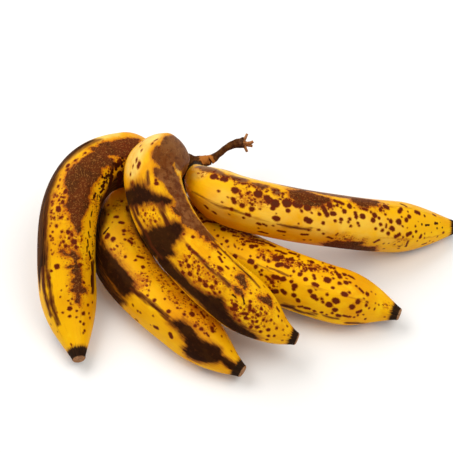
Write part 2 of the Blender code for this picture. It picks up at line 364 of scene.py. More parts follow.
class Peel:
    # One banana's skin as a grid: rows run along the fruit, columns run round it
    def __init__(self, name, banana, number):
        self.name, self.banana, self.number = name, banana, number
        shape = peelShape
        even = np.linspace(0.0, 1.0, shape["rowsAlong"])
        eased = 0.5 - 0.5 * np.cos(math.pi * even)
        samples = (1.0 - shape["rowEasing"]) * even + shape["rowEasing"] * eased
        centres, along = splineThrough(banana["path"], samples)
        centres += placeOnTable
        tangents, ups, sides = carriedFrames(centres, len(centres) // 2)
        length = along[-1]
        neckToBody = smoothStep((along - banana["neck"]) / banana["shoulder"])
        body = shape["neckRadius"] + (banana["radius"] - shape["neckRadius"]) * neckToBody
        swollen = np.exp(-((along - banana.get("swellAt", 0.0)) / shape["swellReach"]) ** 2)
        body = body + banana.get("swell", 0.0) * swollen
        fromFullest = (along / length - shape["fullestAt"]) / shape["sagReach"]
        body = body * (1.0 - shape["bodySag"] * fromFullest ** 2)
        start = length - shape["tipNubLength"] - banana["tip"]
        closing = np.clip((along - start) / banana["tip"], 0.0, 1.0)
        openShare = (1.0 - closing ** shape["tipRoundness"]) ** shape["tipFullness"]
        nub = smoothStep((along - length) / shape["tipNubLength"] + 1.0)
        nubRadius = shape["tipRadius"] * (1.0 - shape["tipNubTaper"] * nub)
        radii = body * openShare + nubRadius * (1.0 - openShare)
        overEdge = np.clip(along - length + shape["nubEdge"], 0, None) / shape["nubEdge"]
        radii *= np.sqrt(np.clip(1.0 - overEdge ** 2 * shape["nubEdgeCut"], 0, 1))
        self.length = length

        # The scar closes the tip with rows that only shrink, and sinks a little at its middle
        shrink = np.linspace(1.0, 0.0, shape["scarRows"] + 1)[1:]
        hollow = tangents[-1] * shape["scarHollow"]
        rowCentres = np.concatenate([centres[:1], centres, centres[-1] - np.outer(1.0 - shrink ** 2, hollow)])
        rowRadii = np.concatenate([[0.0], radii, radii[-1] * shrink])
        rowAlong = np.concatenate([along[:1], along, np.full(len(shrink), length)])
        rowBody = np.concatenate([[0.0], neckToBody * openShare, np.zeros(len(shrink))])
        rowUps = np.concatenate([ups[:1], ups, np.repeat(ups[-1:], len(shrink), axis=0)])
        rowSides = np.concatenate([sides[:1], sides, np.repeat(sides[-1:], len(shrink), axis=0)])

        around = np.linspace(-math.pi, math.pi, shape["sidesAround"] + 1)
        self.around = around
        self.rowAlong = rowAlong
        self.scarShare = np.concatenate([np.zeros(len(along) + 1), 1.0 - shrink])
        self.bodyRow = smoothStep((rowAlong - banana["neck"]) / banana["shoulder"])
        turned = around - math.radians(banana["ridgeTurn"])
        ridge = sum(height * np.cos(shape["ridgeCount"] * (i + 1) * turned)
                    for i, height in enumerate(shape["ridgeHeights"]))
        lumps = waves(number, around[None, :], rowAlong[:, None], shape["lumpWaves"], shape["lumpLength"])
        fibreEnd = banana["shoulder"] * shape["fibreReach"]
        neckShare = 1.0 - smoothStep((rowAlong - banana["neck"]) / fibreEnd)
        fibres = sum(height * np.cos(count * around + turn * number)
                     for count, turn, height in shape["neckFibres"])[None, :]
        relief = 1.0 + rowBody[:, None] * (ridge[None, :] + shape["lump"] * lumps)
        relief += neckShare[:, None] * shape["neckRidge"] * fibres
        reach = rowRadii[:, None] * relief
        upShare, sideShare = np.cos(around)[None, :, None], np.sin(around)[None, :, None]
        across = upShare * rowUps[:, None, :] + sideShare * rowSides[:, None, :]
        points = rowCentres[:, None, :] + across * reach[:, :, None]
        # A belly on the table is flattened softly and never goes below it
        soft = shape["tableSoftness"]
        points[..., 2] = 0.5 * (points[..., 2] + np.sqrt(points[..., 2] ** 2 + soft ** 2))
        self.points = points
        self.ridgeCrest = np.cos(shape["ridgeCount"] * turned)
        self.rowRadius = np.maximum(rowRadii, shape["leastRadius"])

    def lookFrom(self, eye):
        # How squarely each point faces the camera, and where it falls in the picture
        down = np.gradient(self.points, axis=0)
        right = np.gradient(self.points, axis=1)
        right[:, 0] = right[:, -1] = self.points[:, 1] - self.points[:, -2]
        outward = np.cross(right, down)
        outward /= np.maximum(np.linalg.norm(outward, axis=2), tiny)[..., None]
        middle = len(self.rowAlong) // 2
        sample = self.points[middle] - self.points[middle].mean(axis=0)
        if (outward[middle] * sample).sum() < 0:
            outward = -outward
        view = eye - self.points
        view /= np.linalg.norm(view, axis=2)[..., None]
        self.facing = (outward * view).sum(axis=2)
        self.seenX, self.seenY = seenAt(self.points)
        self.midTurn = self.around[self.facing.argmax(axis=1)]

    def find(self, pixel):
        # The place (along, around) on the seen side; a pixel outside the outline goes on round the fruit
        gap = (self.seenX - pixel[0]) ** 2 + (self.seenY - pixel[1]) ** 2
        gap = np.where(self.facing > leastFacing, gap, farOff)
        row, column = np.unravel_index(gap.argmin(), gap.shape)
        along, turn = self.rowAlong[row], self.around[column]
        outside = math.sqrt(gap[row, column])
        if outside > outsidePixels:
            onward = (outside - skinPixels) * cameraView["mmPerPixel"] / self.rowRadius[row]
            turn += math.copysign(onward, math.remainder(turn - self.midTurn[row], 2 * math.pi))
        return along, turn


def wrapTurn(turns):
    return (turns + math.pi) % (2.0 * math.pi) - math.pi

def insideDepth(peel, corners):
    # How deep each point lies inside a patch, in millimetres on the unrolled skin; negative outside
    places = np.array([peel.find(corner) for corner in corners])
    middleTurn = math.atan2(np.sin(places[:, 1]).mean(), np.cos(places[:, 1]).mean())
    px = peel.rowAlong[:, None] + 0.0 * peel.around[None, :]
    py = wrapTurn(peel.around - middleTurn)[None, :] * unrollRadius + 0.0 * px
    edge = np.stack([places[:, 0], wrapTurn(places[:, 1] - middleTurn) * unrollRadius], axis=1)
    nearest = np.full(px.shape, farOff)
    inside = np.zeros(px.shape, bool)
    for (ax, ay), (bx, by) in zip(edge, np.roll(edge, -1, axis=0)):
        dx, dy = bx - ax, by - ay
        share = np.clip(((px - ax) * dx + (py - ay) * dy) / max(dx * dx + dy * dy, tiny), 0, 1)
        nearest = np.minimum(nearest, (px - ax - share * dx) ** 2 + (py - ay - share * dy) ** 2)
        crosses = (ay > py) != (by > py)
        if abs(dy) > tiny:
            inside ^= crosses & (px < ax + (py - ay) * dx / dy)
    return np.where(inside, 1.0, -1.0) * np.sqrt(nearest)


def strokeDepth(peel, stroke):
    # A spot is one place and a radius in pixels; a dash or band is a chain of places and a radius
    *pixels, radius = stroke
    size = radius * cameraView["mmPerPixel"]
    places = [peel.find(pixel) for pixel in pixels]
    depth = np.full((len(peel.rowAlong), len(peel.around)), -markReach)
    if len(places) == 1:
        places.append(places[0])
    for (a0, t0), (a1, t1) in zip(places, places[1:]):
        rows = np.flatnonzero((peel.rowAlong > min(a0, a1) - size - markReach)
                              & (peel.rowAlong < max(a0, a1) + size + markReach))
        x = (peel.rowAlong[rows] - a0)[:, None]
        y = wrapTurn(peel.around - t0)[None, :] * peel.rowRadius[rows][:, None]
        dx = a1 - a0
        dy = math.remainder(t1 - t0, 2 * math.pi) * peel.rowRadius[rows].mean()
        share = np.clip((x * dx + y * dy) / max(dx * dx + dy * dy, tiny), 0, 1)
        here = size - np.hypot(x - share * dx, y - share * dy)
        depth[rows] = np.maximum(depth[rows], here)
    return depth


freckle = {
    "rarity": 2.5,           # the higher, the rarer the larger ones are
    "longest": 1.5,          # some are this much longer along the fruit than across it
    "margin": 3.0,
}


def scatterSpots(peel, depth, seed, count, sizes, weight):
    # Chance freckles, denser where weight is high; sizes are the smallest and largest radius
    chance = np.random.default_rng(seed)
    rows = chance.integers(0, len(peel.rowAlong), count)
    columns = chance.integers(0, len(peel.around), count)
    radii = sizes[0] + (sizes[1] - sizes[0]) * chance.random(count) ** freckle["rarity"]
    stretch = chance.uniform(1.0, freckle["longest"], count)
    keep = chance.random(count) < weight[rows, columns]
    for row, column, radius, longer in zip(rows[keep], columns[keep], radii[keep], stretch[keep]):
        near = np.flatnonzero(np.abs(peel.rowAlong - peel.rowAlong[row]) < radius + freckle["margin"])
        x = (peel.rowAlong[near] - peel.rowAlong[row])[:, None] / longer
        y = wrapTurn(peel.around - peel.around[column])[None, :] * peel.rowRadius[near][:, None]
        depth[near] = np.maximum(depth[near], radius - np.hypot(x, y))


# Marks as they are seen: every place is a pixel of the 453 px picture, every radius is in pixels.
# Patches (brown, grey, black, and dark bands, which are dead tissue and partly painted shade on flanks in a
# neighbour's shadow) are closed outlines; a corner outside the fruit's outline carries the patch round to the
# back. Spots and strokes (streaky, spots, dark) are a chain of places and a radius. Clouds have a strength as
# well: mottling, which in a few strokes is painted shade, and pale ones, which are painted highlights. Sprays
# of small flecks (flecked, sprayed) are a chain of places, how far the flecks stray from it, the largest
# radius, and how many there are.

marks = {
    "banana_left": {
        "brown": [
            [(139, 139), (124, 138), (113, 141), (101, 143), (97, 146), (91, 148), (94, 152), (88, 156),
             (78, 161), (72, 166), (66, 174), (65, 181), (68, 191), (68, 199), (64, 206), (69, 214),
             (71, 220), (74, 227), (78, 234), (82, 229), (81, 221), (86, 211), (89, 203), (89, 195),
             (92, 186), (97, 180), (102, 174), (101, 168), (108, 166), (112, 169), (116, 166), (114, 162),
             (110, 157), (112, 155), (121, 158), (125, 160), (129, 158), (134, 151), (140, 144)],
            [(73, 251), (80, 257), (77, 262), (80, 268), (82, 276), (81, 286), (87, 289), (87, 293),
             (80, 293), (81, 302), (80, 305), (76, 303), (75, 293), (70, 291), (73, 286), (71, 281),
             (75, 276), (70, 273), (74, 268), (68, 267), (74, 263), (73, 257), (66, 257), (60, 252),
             (63, 249), (69, 254)],
        ],
        "flecked": [
            [(124, 161), (114, 169), (106, 179), (101, 191), 4.0, 1.9, 80],
            [(101, 191), (98, 205), (95.5, 222), (93.5, 240), (92.5, 262), 2.6, 1.2, 110],
        ],
        "sprayed": [[(52, 200), (52, 225), (53, 255), 2.2, 1.0, 25]],
        "streaky": [
            [(93, 262), (93, 275), (93, 292), 2.4],
            [(50, 196), (46, 212), (45.5, 230), (46, 250), (47, 268), 1.0],
            [(47.2, 270), (49.1, 286), (51.7, 298.7), (55.5, 314.6), (58, 324.2), 1.7],
            [(42.5, 268), (44, 289), (45.3, 295.5), (47.2, 305), (50.4, 314.6), 1.9],
        ],
        # Dark bands on the outer edge and the inner side: dead tissue, and painted shade on those flanks
        "bandAndShade": [
            [(100, 139.5), (88, 145.5), (76, 153), (66, 162), (59, 171), (56, 178), (52.5, 188),
             (50.5, 196), (48.5, 206), (47, 216), (46.5, 230), (46.5, 244), (47, 258), (47.5, 276),
             (45, 266), (44, 284), (42, 268), (40, 290), (37.5, 270), (36, 250), (36, 232), (37, 214),
             (40, 198), (44, 186), (50, 174), (58, 163), (68, 153), (80, 145), (92, 139.5)],
            [(125, 168), (118, 175), (110, 184), (106, 192), (101, 200), (99, 210), (97, 222), (96, 235),
             (95.5, 248), (95, 262), (99, 262), (99, 248), (100, 235), (101, 222), (104, 212), (109, 203),
             (116, 195), (125, 189), (130, 180)],
        ],
        "spots": [
            [(85.4, 153), 1.3], [(76, 160), 1.2], [(68.6, 165.5), 1.7], [(67.8, 169.5), 1.6],
            [(66, 191), 2.2], [(61, 197), (64, 197), 0.9], [(62.5, 202), 2.1], [(58.7, 209.2), 2.6],
            [(56.4, 225.6), 1.5], [(59, 219), (62, 217), 1.1], [(50.2, 236.3), 1.2], [(61.7, 232), 1.2],
            [(67.8, 232), 2.0], [(74, 242), 2.7], [(72.4, 235), 1.5], [(63.3, 242), 1.4], [(66, 246), 1.8],
            [(69, 238.5), 1.2], [(76, 247), 1.8], [(119.5, 162.5), 3.3], [(112.6, 159.8), 1.1],
            [(108.8, 171.7), 1.1], [(80.2, 265), 2.4], [(57.4, 267), 2.5], [(51.7, 271), 1.2],
            [(49.9, 277.7), 1.1], [(51.7, 254.1), 1.0], [(69.6, 308.8), 2.4], [(63.2, 312.1), 1.3],
            [(69.4, 316), 1.5], [(83.5, 313.4), 2.0], [(88, 305.1), 1.4], [(92.6, 302.2), 1.2],
            [(83.5, 324.2), 1.4], [(80.2, 321.3), 1.1], [(76.8, 317.1), 1.0], [(76.8, 310.9), 1.0],
            [(88.9, 313.4), 1.0], [(89.7, 318), 1.1], [(84.7, 330.8), 1.1], [(68.6, 300.5), 1.0],
            [(71.9, 299), 1.0], [(83.9, 282.7), 1.7], [(58, 186), 1.2], [(55, 195), 1.0], [(60, 180), 1.0],
        ],
        "dark": [
            [(119.5, 174), 4.0], [(120.5, 178), (118, 185), 3.6], [(112, 177), (109.5, 186), 2.9],
            [(105, 182), (102.5, 186), 1.7], [(103, 190), (100.5, 193), 1.6],
            [(107.5, 191), (105.5, 197), 1.7], [(95.5, 193.5), (93.7, 197.5), 1.5],
            [(98, 195), (97.3, 199), 1.0], [(101.5, 196), (100, 201), 1.2], [(91.8, 211), (91, 216), 1.1],
            [(90, 221), (90.3, 227), 1.1], [(88.5, 232), (89.5, 237), 1.2], [(87.5, 240), (88, 246), 1.2],
            [(89.5, 252), (90.5, 258), 1.4], [(87, 247), (86.8, 252), 1.0], [(91.5, 262), (92, 270), 1.3],
            [(91, 276), (91.5, 286), 1.4],
        ],
        "mottledAndShade": [
            [(72, 243), 11, 0.9], [(60, 205), 14, 0.55], [(92, 200), 9, 0.8], [(86, 262), 9, 0.6],
            [(68, 190), 9, 0.6],
        ],
        # Painted highlight along the lit top
        "pale": [[(112, 134), (85, 143), (62, 163), 7, 0.8]],
    },
    "banana_front_left": {
        "black": [
            [(103, 242), (105, 249), (110, 256), (118, 262), (125, 271), (132, 281), (135, 288),
             (130, 293), (124, 296), (119, 291), (113, 283), (105, 273), (99, 264), (97, 254), (99, 246)],
            [(170, 320), (183, 322), (191, 327), (194, 333), (203, 341), (213, 345), (220, 348),
             (222, 355), (229, 360), (236, 364), (237, 371), (230, 369), (221, 361), (211, 363),
             (199, 362), (189, 357), (184, 350), (187, 345), (185, 338), (178, 330)],
        ],
        "streaky": [[(131, 288), (142, 296), (151, 304), (160, 311), (168, 318), 1.6]],
        # Painted shade with dark marks in it: the left flank next to banana_left, and the edge in
        # banana_top's shadow
        "bandAndShade": [
            [(112, 190), (106, 199), (104, 206), (107, 212), (105, 222), (102, 232), (101, 241),
             (100, 252), (101, 262), (105, 272), (110, 281), (117, 291), (126, 302), (118, 306),
             (108, 295), (100, 283), (95, 270), (92, 256), (91, 240), (92, 225), (95, 210), (101, 198),
             (110, 188)],
            [(126, 206), (129, 214), (132, 224), (137, 234), (143, 243), (150, 252), (158, 262),
             (168, 273), (178, 283), (190, 295), (200, 305), (206, 303), (192, 288), (178, 274),
             (164, 260), (152, 246), (142, 232), (136, 218), (131, 204)],
        ],
        "dark": [[(103.8, 233.7), (109.2, 227.5), 0.8], [(126.3, 206.5), (127.5, 210.5), 1.3]],
        "spots": [
            [(114.5, 216.8), (117.5, 216.8), 1.3], [(119.5, 222.6), (122.5, 222.8), 1.6],
            [(124.5, 231), 2.0], [(123.7, 233.9), 1.3], [(106.5, 236.8), (108, 235.2), 1.8],
            [(112.4, 239.4), (114, 238.6), 2.0], [(124.9, 239.4), 1.3],
            [(131.2, 238.6), (132.4, 239.6), 1.3], [(128.6, 240.8), (132.2, 243.2), 1.5], [(108, 205), 1.2],
            [(109.2, 214.9), 1.0], [(113, 240.5), 1.4], [(124.9, 257), 1.4], [(135.3, 260.7), 1.4],
            [(137.6, 256.6), (143.2, 258.0), 1.4], [(142.8, 267.4), 1.9], [(132.8, 305.5), 0.9],
            [(137.8, 311), 1.2], [(140.7, 313), 1.1], [(147.7, 295.6), 1.2], [(154.1, 300.3), 1.6],
            [(168.4, 311.5), 1.9], [(177.6, 308.5), 0.9], [(184.2, 315.1), 1.5],
            [(191.4, 314), (192.4, 314.4), 2.4], [(195.4, 325.3), 1.8], [(201, 329.4), 2.0],
            [(212.2, 328.5), (212.4, 330.5), 1.7], [(206.5, 333), (209, 336), 1.0],
            [(155, 326.8), (157.5, 328), 1.7], [(169.8, 334.4), (171.2, 336.6), 2.1], [(153, 315.6), 0.8],
            [(200.5, 312.5), (204.5, 317), 1.0], [(182.7, 292.1), 1.8], [(161.2, 275.3), 1.3],
            [(174.5, 280), 1.3], [(221.6, 336), 0.8], [(149, 290), 1.0], [(165, 299), 0.8],
        ],
        "mottledAndShade": [
            [(140, 281), 9, 0.9], [(206, 318), 9, 0.5], [(118, 250), 8, 0.5], [(120, 205), 10, 0.35],
            # These two strokes are painted shade along the edge in banana_top's shadow, over some bruising
            [(130, 228), (152, 264), (176, 300), (202, 326), 5, 0.45],
            [(152, 252), (172, 280), (192, 305), (213, 328), 4, 0.9],
        ],
    },
    "banana_top": {
        "grey": [
            [(164, 138), (170, 135), (178, 135), (186, 143), (190, 152), (190, 162), (187, 170),
             (185, 179), (182, 176), (178, 170), (174.5, 163), (172, 164), (174.5, 170), (179, 177),
             (183, 191), (188, 203), (195, 215), (202, 224), (209, 232), (217, 241), (212, 241),
             (204, 235), (198, 231), (190, 228), (182, 223), (181, 214), (175, 208), (176, 202),
             (173, 196), (168, 191), (165, 186), (159, 179), (155, 173), (154, 169), (160, 167),
             (156, 162), (153, 157), (152, 151), (156, 146), (160, 145)],
        ],
        "black": [
            [(123, 192), (129, 190), (133, 187), (139, 183), (144, 187), (148, 190), (153, 193),
             (159, 196), (165, 197), (172, 200), (170, 203), (163, 204), (156, 203), (148, 202),
             (142, 204), (135, 205), (127, 208), (122, 204)],
            [(143, 231), (148, 231), (153, 228), (157, 227), (164, 227), (168, 223), (176, 223),
             (181, 224), (183, 229), (180, 236), (177, 240), (173, 244), (171, 249), (174, 255),
             (168, 256), (163, 258), (158, 256), (151, 256), (146, 248), (141, 239)],
            [(158, 256), (164, 256), (170, 263), (176, 270), (184, 277), (191, 285), (199, 290),
             (205, 295), (213, 296), (221, 298), (223, 303), (225, 308), (229, 315), (236, 321),
             (243, 326), (252, 332), (259, 338), (250, 339), (238, 334), (228, 327), (219, 321),
             (207, 310), (196, 299), (184, 288), (172, 277), (160, 265)],
        ],
        "streaky": [
            [(146, 232), (152, 246), (162, 258), 2.2], [(131, 205), (136, 216), (142, 228), 1.8],
            [(132, 184), (134, 190), 1.6], [(147, 172), (147, 184), 1.3],
            [(161, 203), (164, 214), (168, 224), 2.0], [(136, 206), (138, 214), 2.0],
            [(187, 246), (195, 253), (204, 261), 0.5],
            [(206.7, 264.6), (215.6, 272.9), (223.3, 279.3), (229.6, 285), 1.0],
            [(213, 240), (222, 250), (235, 262), (247, 274), (259, 287), 0.8],
        ],
        "dark": [[(242, 296), (244, 304), 0.9], [(233, 295), (235.5, 297.5), 0.9]],
        "brown": [
            [(198, 230), (203, 231), (204, 236), (200, 237)],
            [(205, 236), (210, 238), (211, 242), (206, 241)],
            [(212, 243), (217, 246), (216.5, 248.5), (212, 247)],
            [(236.5, 277), (240, 273), (245, 275), (247.5, 287), (245, 289), (239.5, 283.5)],
            [(233, 286), (236, 285), (242, 292), (241.5, 295), (236, 293)],
            [(258, 297), (262, 296), (270, 297), (273, 304), (271, 307), (264, 302)],
            [(172, 207), (177, 208), (183, 214), (179, 216), (174, 212)],
        ],
        "spots": [
            [(136.8, 160.6), 1.1], [(138, 165.4), (139, 164.2), 1.6], [(133, 165.2), 0.8],
            [(130, 173.6), 0.9], [(132.6, 182.8), 0.9], [(157, 183), 2.1], [(156, 180), 1.3],
            [(142.9, 141.1), 0.8], [(155.1, 140.5), (157, 139.2), 0.8], [(140.5, 146), 0.7],
            [(141.5, 150.5), 0.7], [(153.6, 209.6), 1.2], [(143.7, 220.7), 1.2], [(155.1, 220.7), 1.4],
            [(184.2, 233.7), 1.4], [(193.2, 236.4), 1.8], [(206.8, 236.8), (209.2, 239.4), 1.7],
            [(212.5, 243.5), (216.8, 246.2), 1.8], [(188.8, 247), 1.2], [(192.9, 251.8), (196.9, 254), 1.0],
            [(188.6, 248), (190, 249.5), 1.0], [(203.6, 260.3), 1.2], [(209.2, 256.9), 1.1],
            [(218.8, 251.8), (221, 254.2), 1.5], [(219, 257.2), (221.8, 261.8), 1.3],
            [(219.2, 268.3), (221.8, 268.8), 1.8], [(226.4, 266.4), (227.8, 268.2), 1.0],
            [(231.6, 275.6), 0.8], [(180.6, 265.6), 1.7], [(188.6, 265.9), 2.0], [(194.9, 262.3), 1.1],
            [(198.8, 262), 1.1], [(186.7, 260.5), 1.2], [(198.8, 269.2), 1.0], [(189.8, 274.3), 2.2],
            [(197.8, 274), 1.2], [(199.8, 279.9), 1.9], [(205.6, 285), 2.2], [(211.7, 287.2), 1.8],
            [(215.8, 282.8), 1.6], [(215.3, 293.4), 1.7], [(209.7, 293.7), 1.3], [(219.6, 292.3), 1.0],
            [(183.2, 272.8), 1.8], [(235.2, 305.2), 2.2], [(231.2, 308.4), (236, 309.6), 1.5],
            [(225.5, 307.4), 1.5], [(243, 313.6), (247, 314.2), 1.5], [(245.6, 317.4), 1.9],
            [(238.8, 320.7), 1.5], [(234.2, 318.7), 1.5], [(251, 292.7), 1.1], [(250, 301.8), 1.2],
            [(250.5, 306), (250.3, 309), 1.4], [(252.6, 310.8), (255, 312.2), 1.1],
            [(257.2, 314.6), (258.4, 315.8), 1.5], [(261.7, 308.5), 1.4], [(266.8, 313.1), 1.1],
            [(263.3, 319.7), 1.4], [(266.8, 321.2), 1.2], [(271.4, 319.7), 1.2], [(257.1, 321.2), 1.3],
            [(252.6, 321.2), 1.2], [(257.1, 327.3), 2.0], [(260.7, 331.4), 1.7], [(251, 326.8), 1.7],
            [(268.4, 329.9), 1.8], [(276.5, 328.4), 1.3], [(274, 323.8), 0.9], [(268.4, 335.8), 1.5],
            [(273.8, 336), 1.2], [(267.3, 339.6), 1.1], [(277.4, 308.5), (278.8, 310.5), 1.4],
            [(278.6, 316.1), 1.1], [(282.1, 320.5), 0.9], [(285.7, 317.7), 0.9],
            [(268.4, 295.4), (269.6, 297.4), 1.4], [(245, 309), 0.9], [(262, 300), 1.2],
        ],
        "mottledAndShade": [
            [(205, 278), 15, 0.9], [(258, 315), 14, 0.5], [(150, 213), 12, 0.5], [(232, 310), 9, 0.9],
            [(186, 262), 9, 0.8],
        ],
        # Painted highlights where the light catches the top and the edges
        "pale": [
            [(152, 138), (138, 150), (133, 162), 9, 1.0], [(170, 142), (182, 150), (184, 158), 9, 0.35],
            [(180, 176), (186, 195), (196, 214), (212, 236), 1.1, 1.0], [(177, 166), (178, 172), 2.4, 0.9],
        ],
    },
    "banana_front_right": {
        "sprayed": [
            [(192, 206), (215, 217), (240, 230), (268, 245), 3.5, 1.3, 90],
            [(268, 256), (300, 264), (340, 275), 5.0, 1.3, 70],
        ],
        "streaky": [
            [(283.4, 304.7), (292.8, 307.4), 1.7], [(294.1, 309.2), (303.9, 312.5), (316.4, 314.3), 0.9],
            [(323.6, 315.9), (329.8, 317.7), (337.4, 319), 0.8],
            [(346.8, 322.6), (356.6, 323), (368.2, 323.5), 1.1],
            [(188, 198), (196, 207), (206, 214), (218, 221), (232, 227), 1.2],
            [(257, 264), (265.5, 267.5), (274.3, 270), (288, 276), 0.3],
            [(223, 225), (236, 229), (250, 234), 0.6],
        ],
        "spots": [
            [(198.1, 213), (201.5, 213), (205.4, 214.6), 0.8], [(200.4, 218.2), (202.2, 219.2), 1.0],
            [(202.9, 221.6), (206.7, 221.3), (211.8, 222.2), (219.4, 222.5), 1.1], [(223.3, 228.9), 2.8],
            [(225.8, 226.4), 1.5], [(220.7, 226.4), 1.3], [(232.2, 227.9), (236.7, 228.6), 0.9],
            [(239, 230), (242, 231.4), 0.9], [(230.9, 231.1), (234.1, 231.8), 1.4], [(236, 232.4), 1.1],
            [(214.7, 230), 0.9], [(217.8, 235.3), 1.3], [(223.3, 237.8), 0.7], [(227.1, 241), 1.8],
            [(221.4, 244.5), 1.2], [(227.7, 246.4), 1.0], [(234.1, 244.8), (235.4, 246.8), 0.7],
            [(238.9, 248.7), 1.0], [(242.4, 249.3), 0.7], [(237.3, 240.7), 0.8], [(243.4, 244.8), 1.8],
            [(242.7, 239.4), 1.4], [(232.8, 235.6), (238.6, 236.2), 0.9],
            [(247.2, 241), (249.4, 241.7), 1.5], [(251.3, 241.7), (257, 242.6), (263.4, 244.2), 1.0],
            [(252, 246.4), 2.7], [(256.4, 246.1), 1.9],
            [(251.3, 239.1), (260.9, 241), (269.8, 243.6), (273.6, 246.1), 1.0],
            [(247.8, 234.6), (251.3, 235.6), 0.8], [(257.7, 257), 1.3], [(264.1, 257), 1.5],
            [(267.9, 250.6), 1.2], [(268.5, 261.1), 1.9], [(250.7, 256.6), 0.9], [(235.1, 256.3), 2.4],
            [(249.2, 261.2), (252.2, 262.2), 2.2], [(255.2, 267.2), 2.0], [(262.2, 270.4), 1.4],
            [(261.5, 274.5), 1.4], [(259.3, 272.3), 0.8], [(266, 276.7), (269.8, 279), 1.2],
            [(270.7, 245.5), (274.9, 246.5), 1.2], [(276.3, 250.3), (280.7, 251.2), 1.4],
            [(282.5, 253), (286, 253.4), 1.5], [(289.2, 252.5), (295, 254.1), 1.5], [(288.3, 249.8), 0.8],
            [(277, 259.2), 3.0], [(281.6, 257.4), 2.6], [(275, 258.3), 2.0], [(291, 258.8), 2.4],
            [(277.6, 264.6), (281.2, 264.6), 2.5], [(286, 266.3), (288, 266.8), 1.7], [(299.5, 255), 1.2],
            [(298.1, 256.1), 1.3], [(311.3, 261.9), 2.4], [(309.7, 268.1), (315.5, 269), 1.5],
            [(323.1, 262.8), 0.9], [(329.4, 266.8), (334.3, 268.6), 1.4], [(319.1, 266.3), 1.1],
            [(323.6, 268.6), (327.1, 269.9), 1.3], [(335.6, 271.7), (338.3, 275.3), 1.6],
            [(339.6, 277.1), 2.0], [(344.6, 274.4), 2.1], [(339.6, 274.4), 1.5],
            [(349.5, 275.7), (352.6, 277.9), 1.5], [(354.4, 278.8), 0.7], [(346.3, 278.4), 0.8],
            [(327.6, 279.9), 3.2], [(333.4, 278.4), 1.1], [(339.2, 282.9), 1.8], [(345.9, 282.9), 2.1],
            [(350.4, 282), 1.2], [(332.5, 287.3), 1.4], [(313.8, 275.7), (315.1, 278.4), 1.4],
            [(313.4, 283.5), (316.8, 284.6), 1.7], [(305.7, 279.1), 2.0], [(322, 276.2), 0.6],
            [(299.9, 274.4), 2.1], [(301.3, 271.3), 1.3], [(293.7, 271.3), 1.5],
            [(305.3, 271.3), (307, 269.5), 1.2], [(290.5, 275.7), 1.0],
            [(273.6, 277.1), (278.5, 277.5), 1.9], [(281.5, 279.1), (284, 279.1), 2.2],
            [(271.8, 282.4), 2.0], [(291, 281.5), 1.6], [(294.7, 286.2), 2.5], [(293.6, 289.4), 1.6],
            [(272.5, 291.2), (276.5, 291.6), 2.4], [(282.5, 291.5), (284.5, 292.3), 2.3],
            [(293.7, 295.4), 2.3], [(297.9, 300.1), 2.3], [(310, 291.2), 1.9], [(314, 296.3), 2.4],
            [(316.9, 298.9), 1.4], [(326.9, 294.5), 1.2], [(321.6, 299.1), 1.5], [(322.9, 302.5), 1.5],
            [(329.1, 304.5), 2.8], [(335.6, 301.3), 3.0], [(335.2, 309.9), 2.3],
            [(343.6, 293.5), (346, 294), 2.0], [(349.3, 292.2), 1.2], [(356.4, 285.7), 1.0],
            [(359.7, 288.7), (362.9, 292.2), 1.2], [(367.5, 293.8), 2.0], [(371.2, 292), 0.7],
            [(375.6, 294.3), 0.6], [(357.9, 301.6), 2.3], [(352.1, 306.7), 2.7], [(366.3, 305.2), 1.6],
            [(369.1, 308.5), 0.9], [(374.5, 309.2), 1.0], [(375.2, 303.6), 0.6], [(378.5, 304.7), 0.7],
            [(361, 310.5), (357.1, 312.8), 1.5], [(363.6, 314.8), 1.0], [(365.5, 319), 1.2],
            [(358.2, 315.6), 0.9], [(353.9, 316.8), 0.9], [(321.3, 312.1), 1.4], [(314.6, 311.2), 1.3],
            [(305.3, 307.9), (309.3, 308.8), 1.4], [(299, 306.5), (302.6, 306.5), 1.0],
            [(327.1, 314.4), 1.0], [(331.8, 313.4), 1.2], [(337.5, 315.3), (340, 316), 1.7],
            [(343.2, 315.9), (349.9, 316.8), 1.1],
        ],
        "mottledAndShade": [
            [(230, 229), (245, 236), (262, 243), 5, 0.8], [(262, 253), (272, 256), 6, 1.0],
            [(285, 262), (305, 266), (330, 270), 5, 1.0], [(272, 283), 7, 0.8], [(386, 305), 4, 0.7],
            [(242, 240), 7, 0.6],
        ],
    },
    "banana_right": {
        "grey": [
            [(196, 167), (204, 166), (213, 168), (222, 172), (230, 177), (224, 177.5), (214, 172.5),
             (204, 171)],
            [(229, 174), (236, 176), (246, 179), (249, 182), (247, 184), (240, 182.5), (232, 179)],
            [(250, 183), (258, 183.5), (267, 185.5), (268, 188), (262, 189), (254, 187)],
            [(270, 187.5), (276, 188.5), (281.5, 193), (278, 195), (272, 192)],
            [(226, 170), (250, 175), (280, 182), (320, 190), (350, 195), (377, 200), (360, 199.5),
             (345, 197.5), (330, 196), (315, 192.5), (300, 190), (285, 186), (270, 182.5), (255, 179),
             (240, 175)],
        ],
        "brown": [
            [(288, 190), (300, 190), (312, 193), (321, 196), (330, 198.5), (329, 202), (321, 206),
             (312, 207), (303, 205), (295, 201), (290, 197)],
            [(351, 197.5), (360, 198.5), (368, 199.5), (377, 201), (380, 202.5), (378, 204),
             (377.5, 206.5), (372, 205.5), (367.5, 207.8), (363.5, 207.5), (359, 206.5), (356.5, 204),
             (352, 201.5)],
            [(322, 243.8), (327.5, 242.5), (332.9, 241.6), (337.3, 240.3), (340.9, 241.4), (348, 241.6),
             (354.3, 241.6), (359.6, 241.2), (363.7, 240.3), (364.1, 243), (359.6, 244.3), (366.8, 246.5),
             (372.1, 247), (375.7, 247), (375.7, 251), (368.6, 252), (350.7, 251), (332.9, 249),
             (324.8, 247)],
        ],
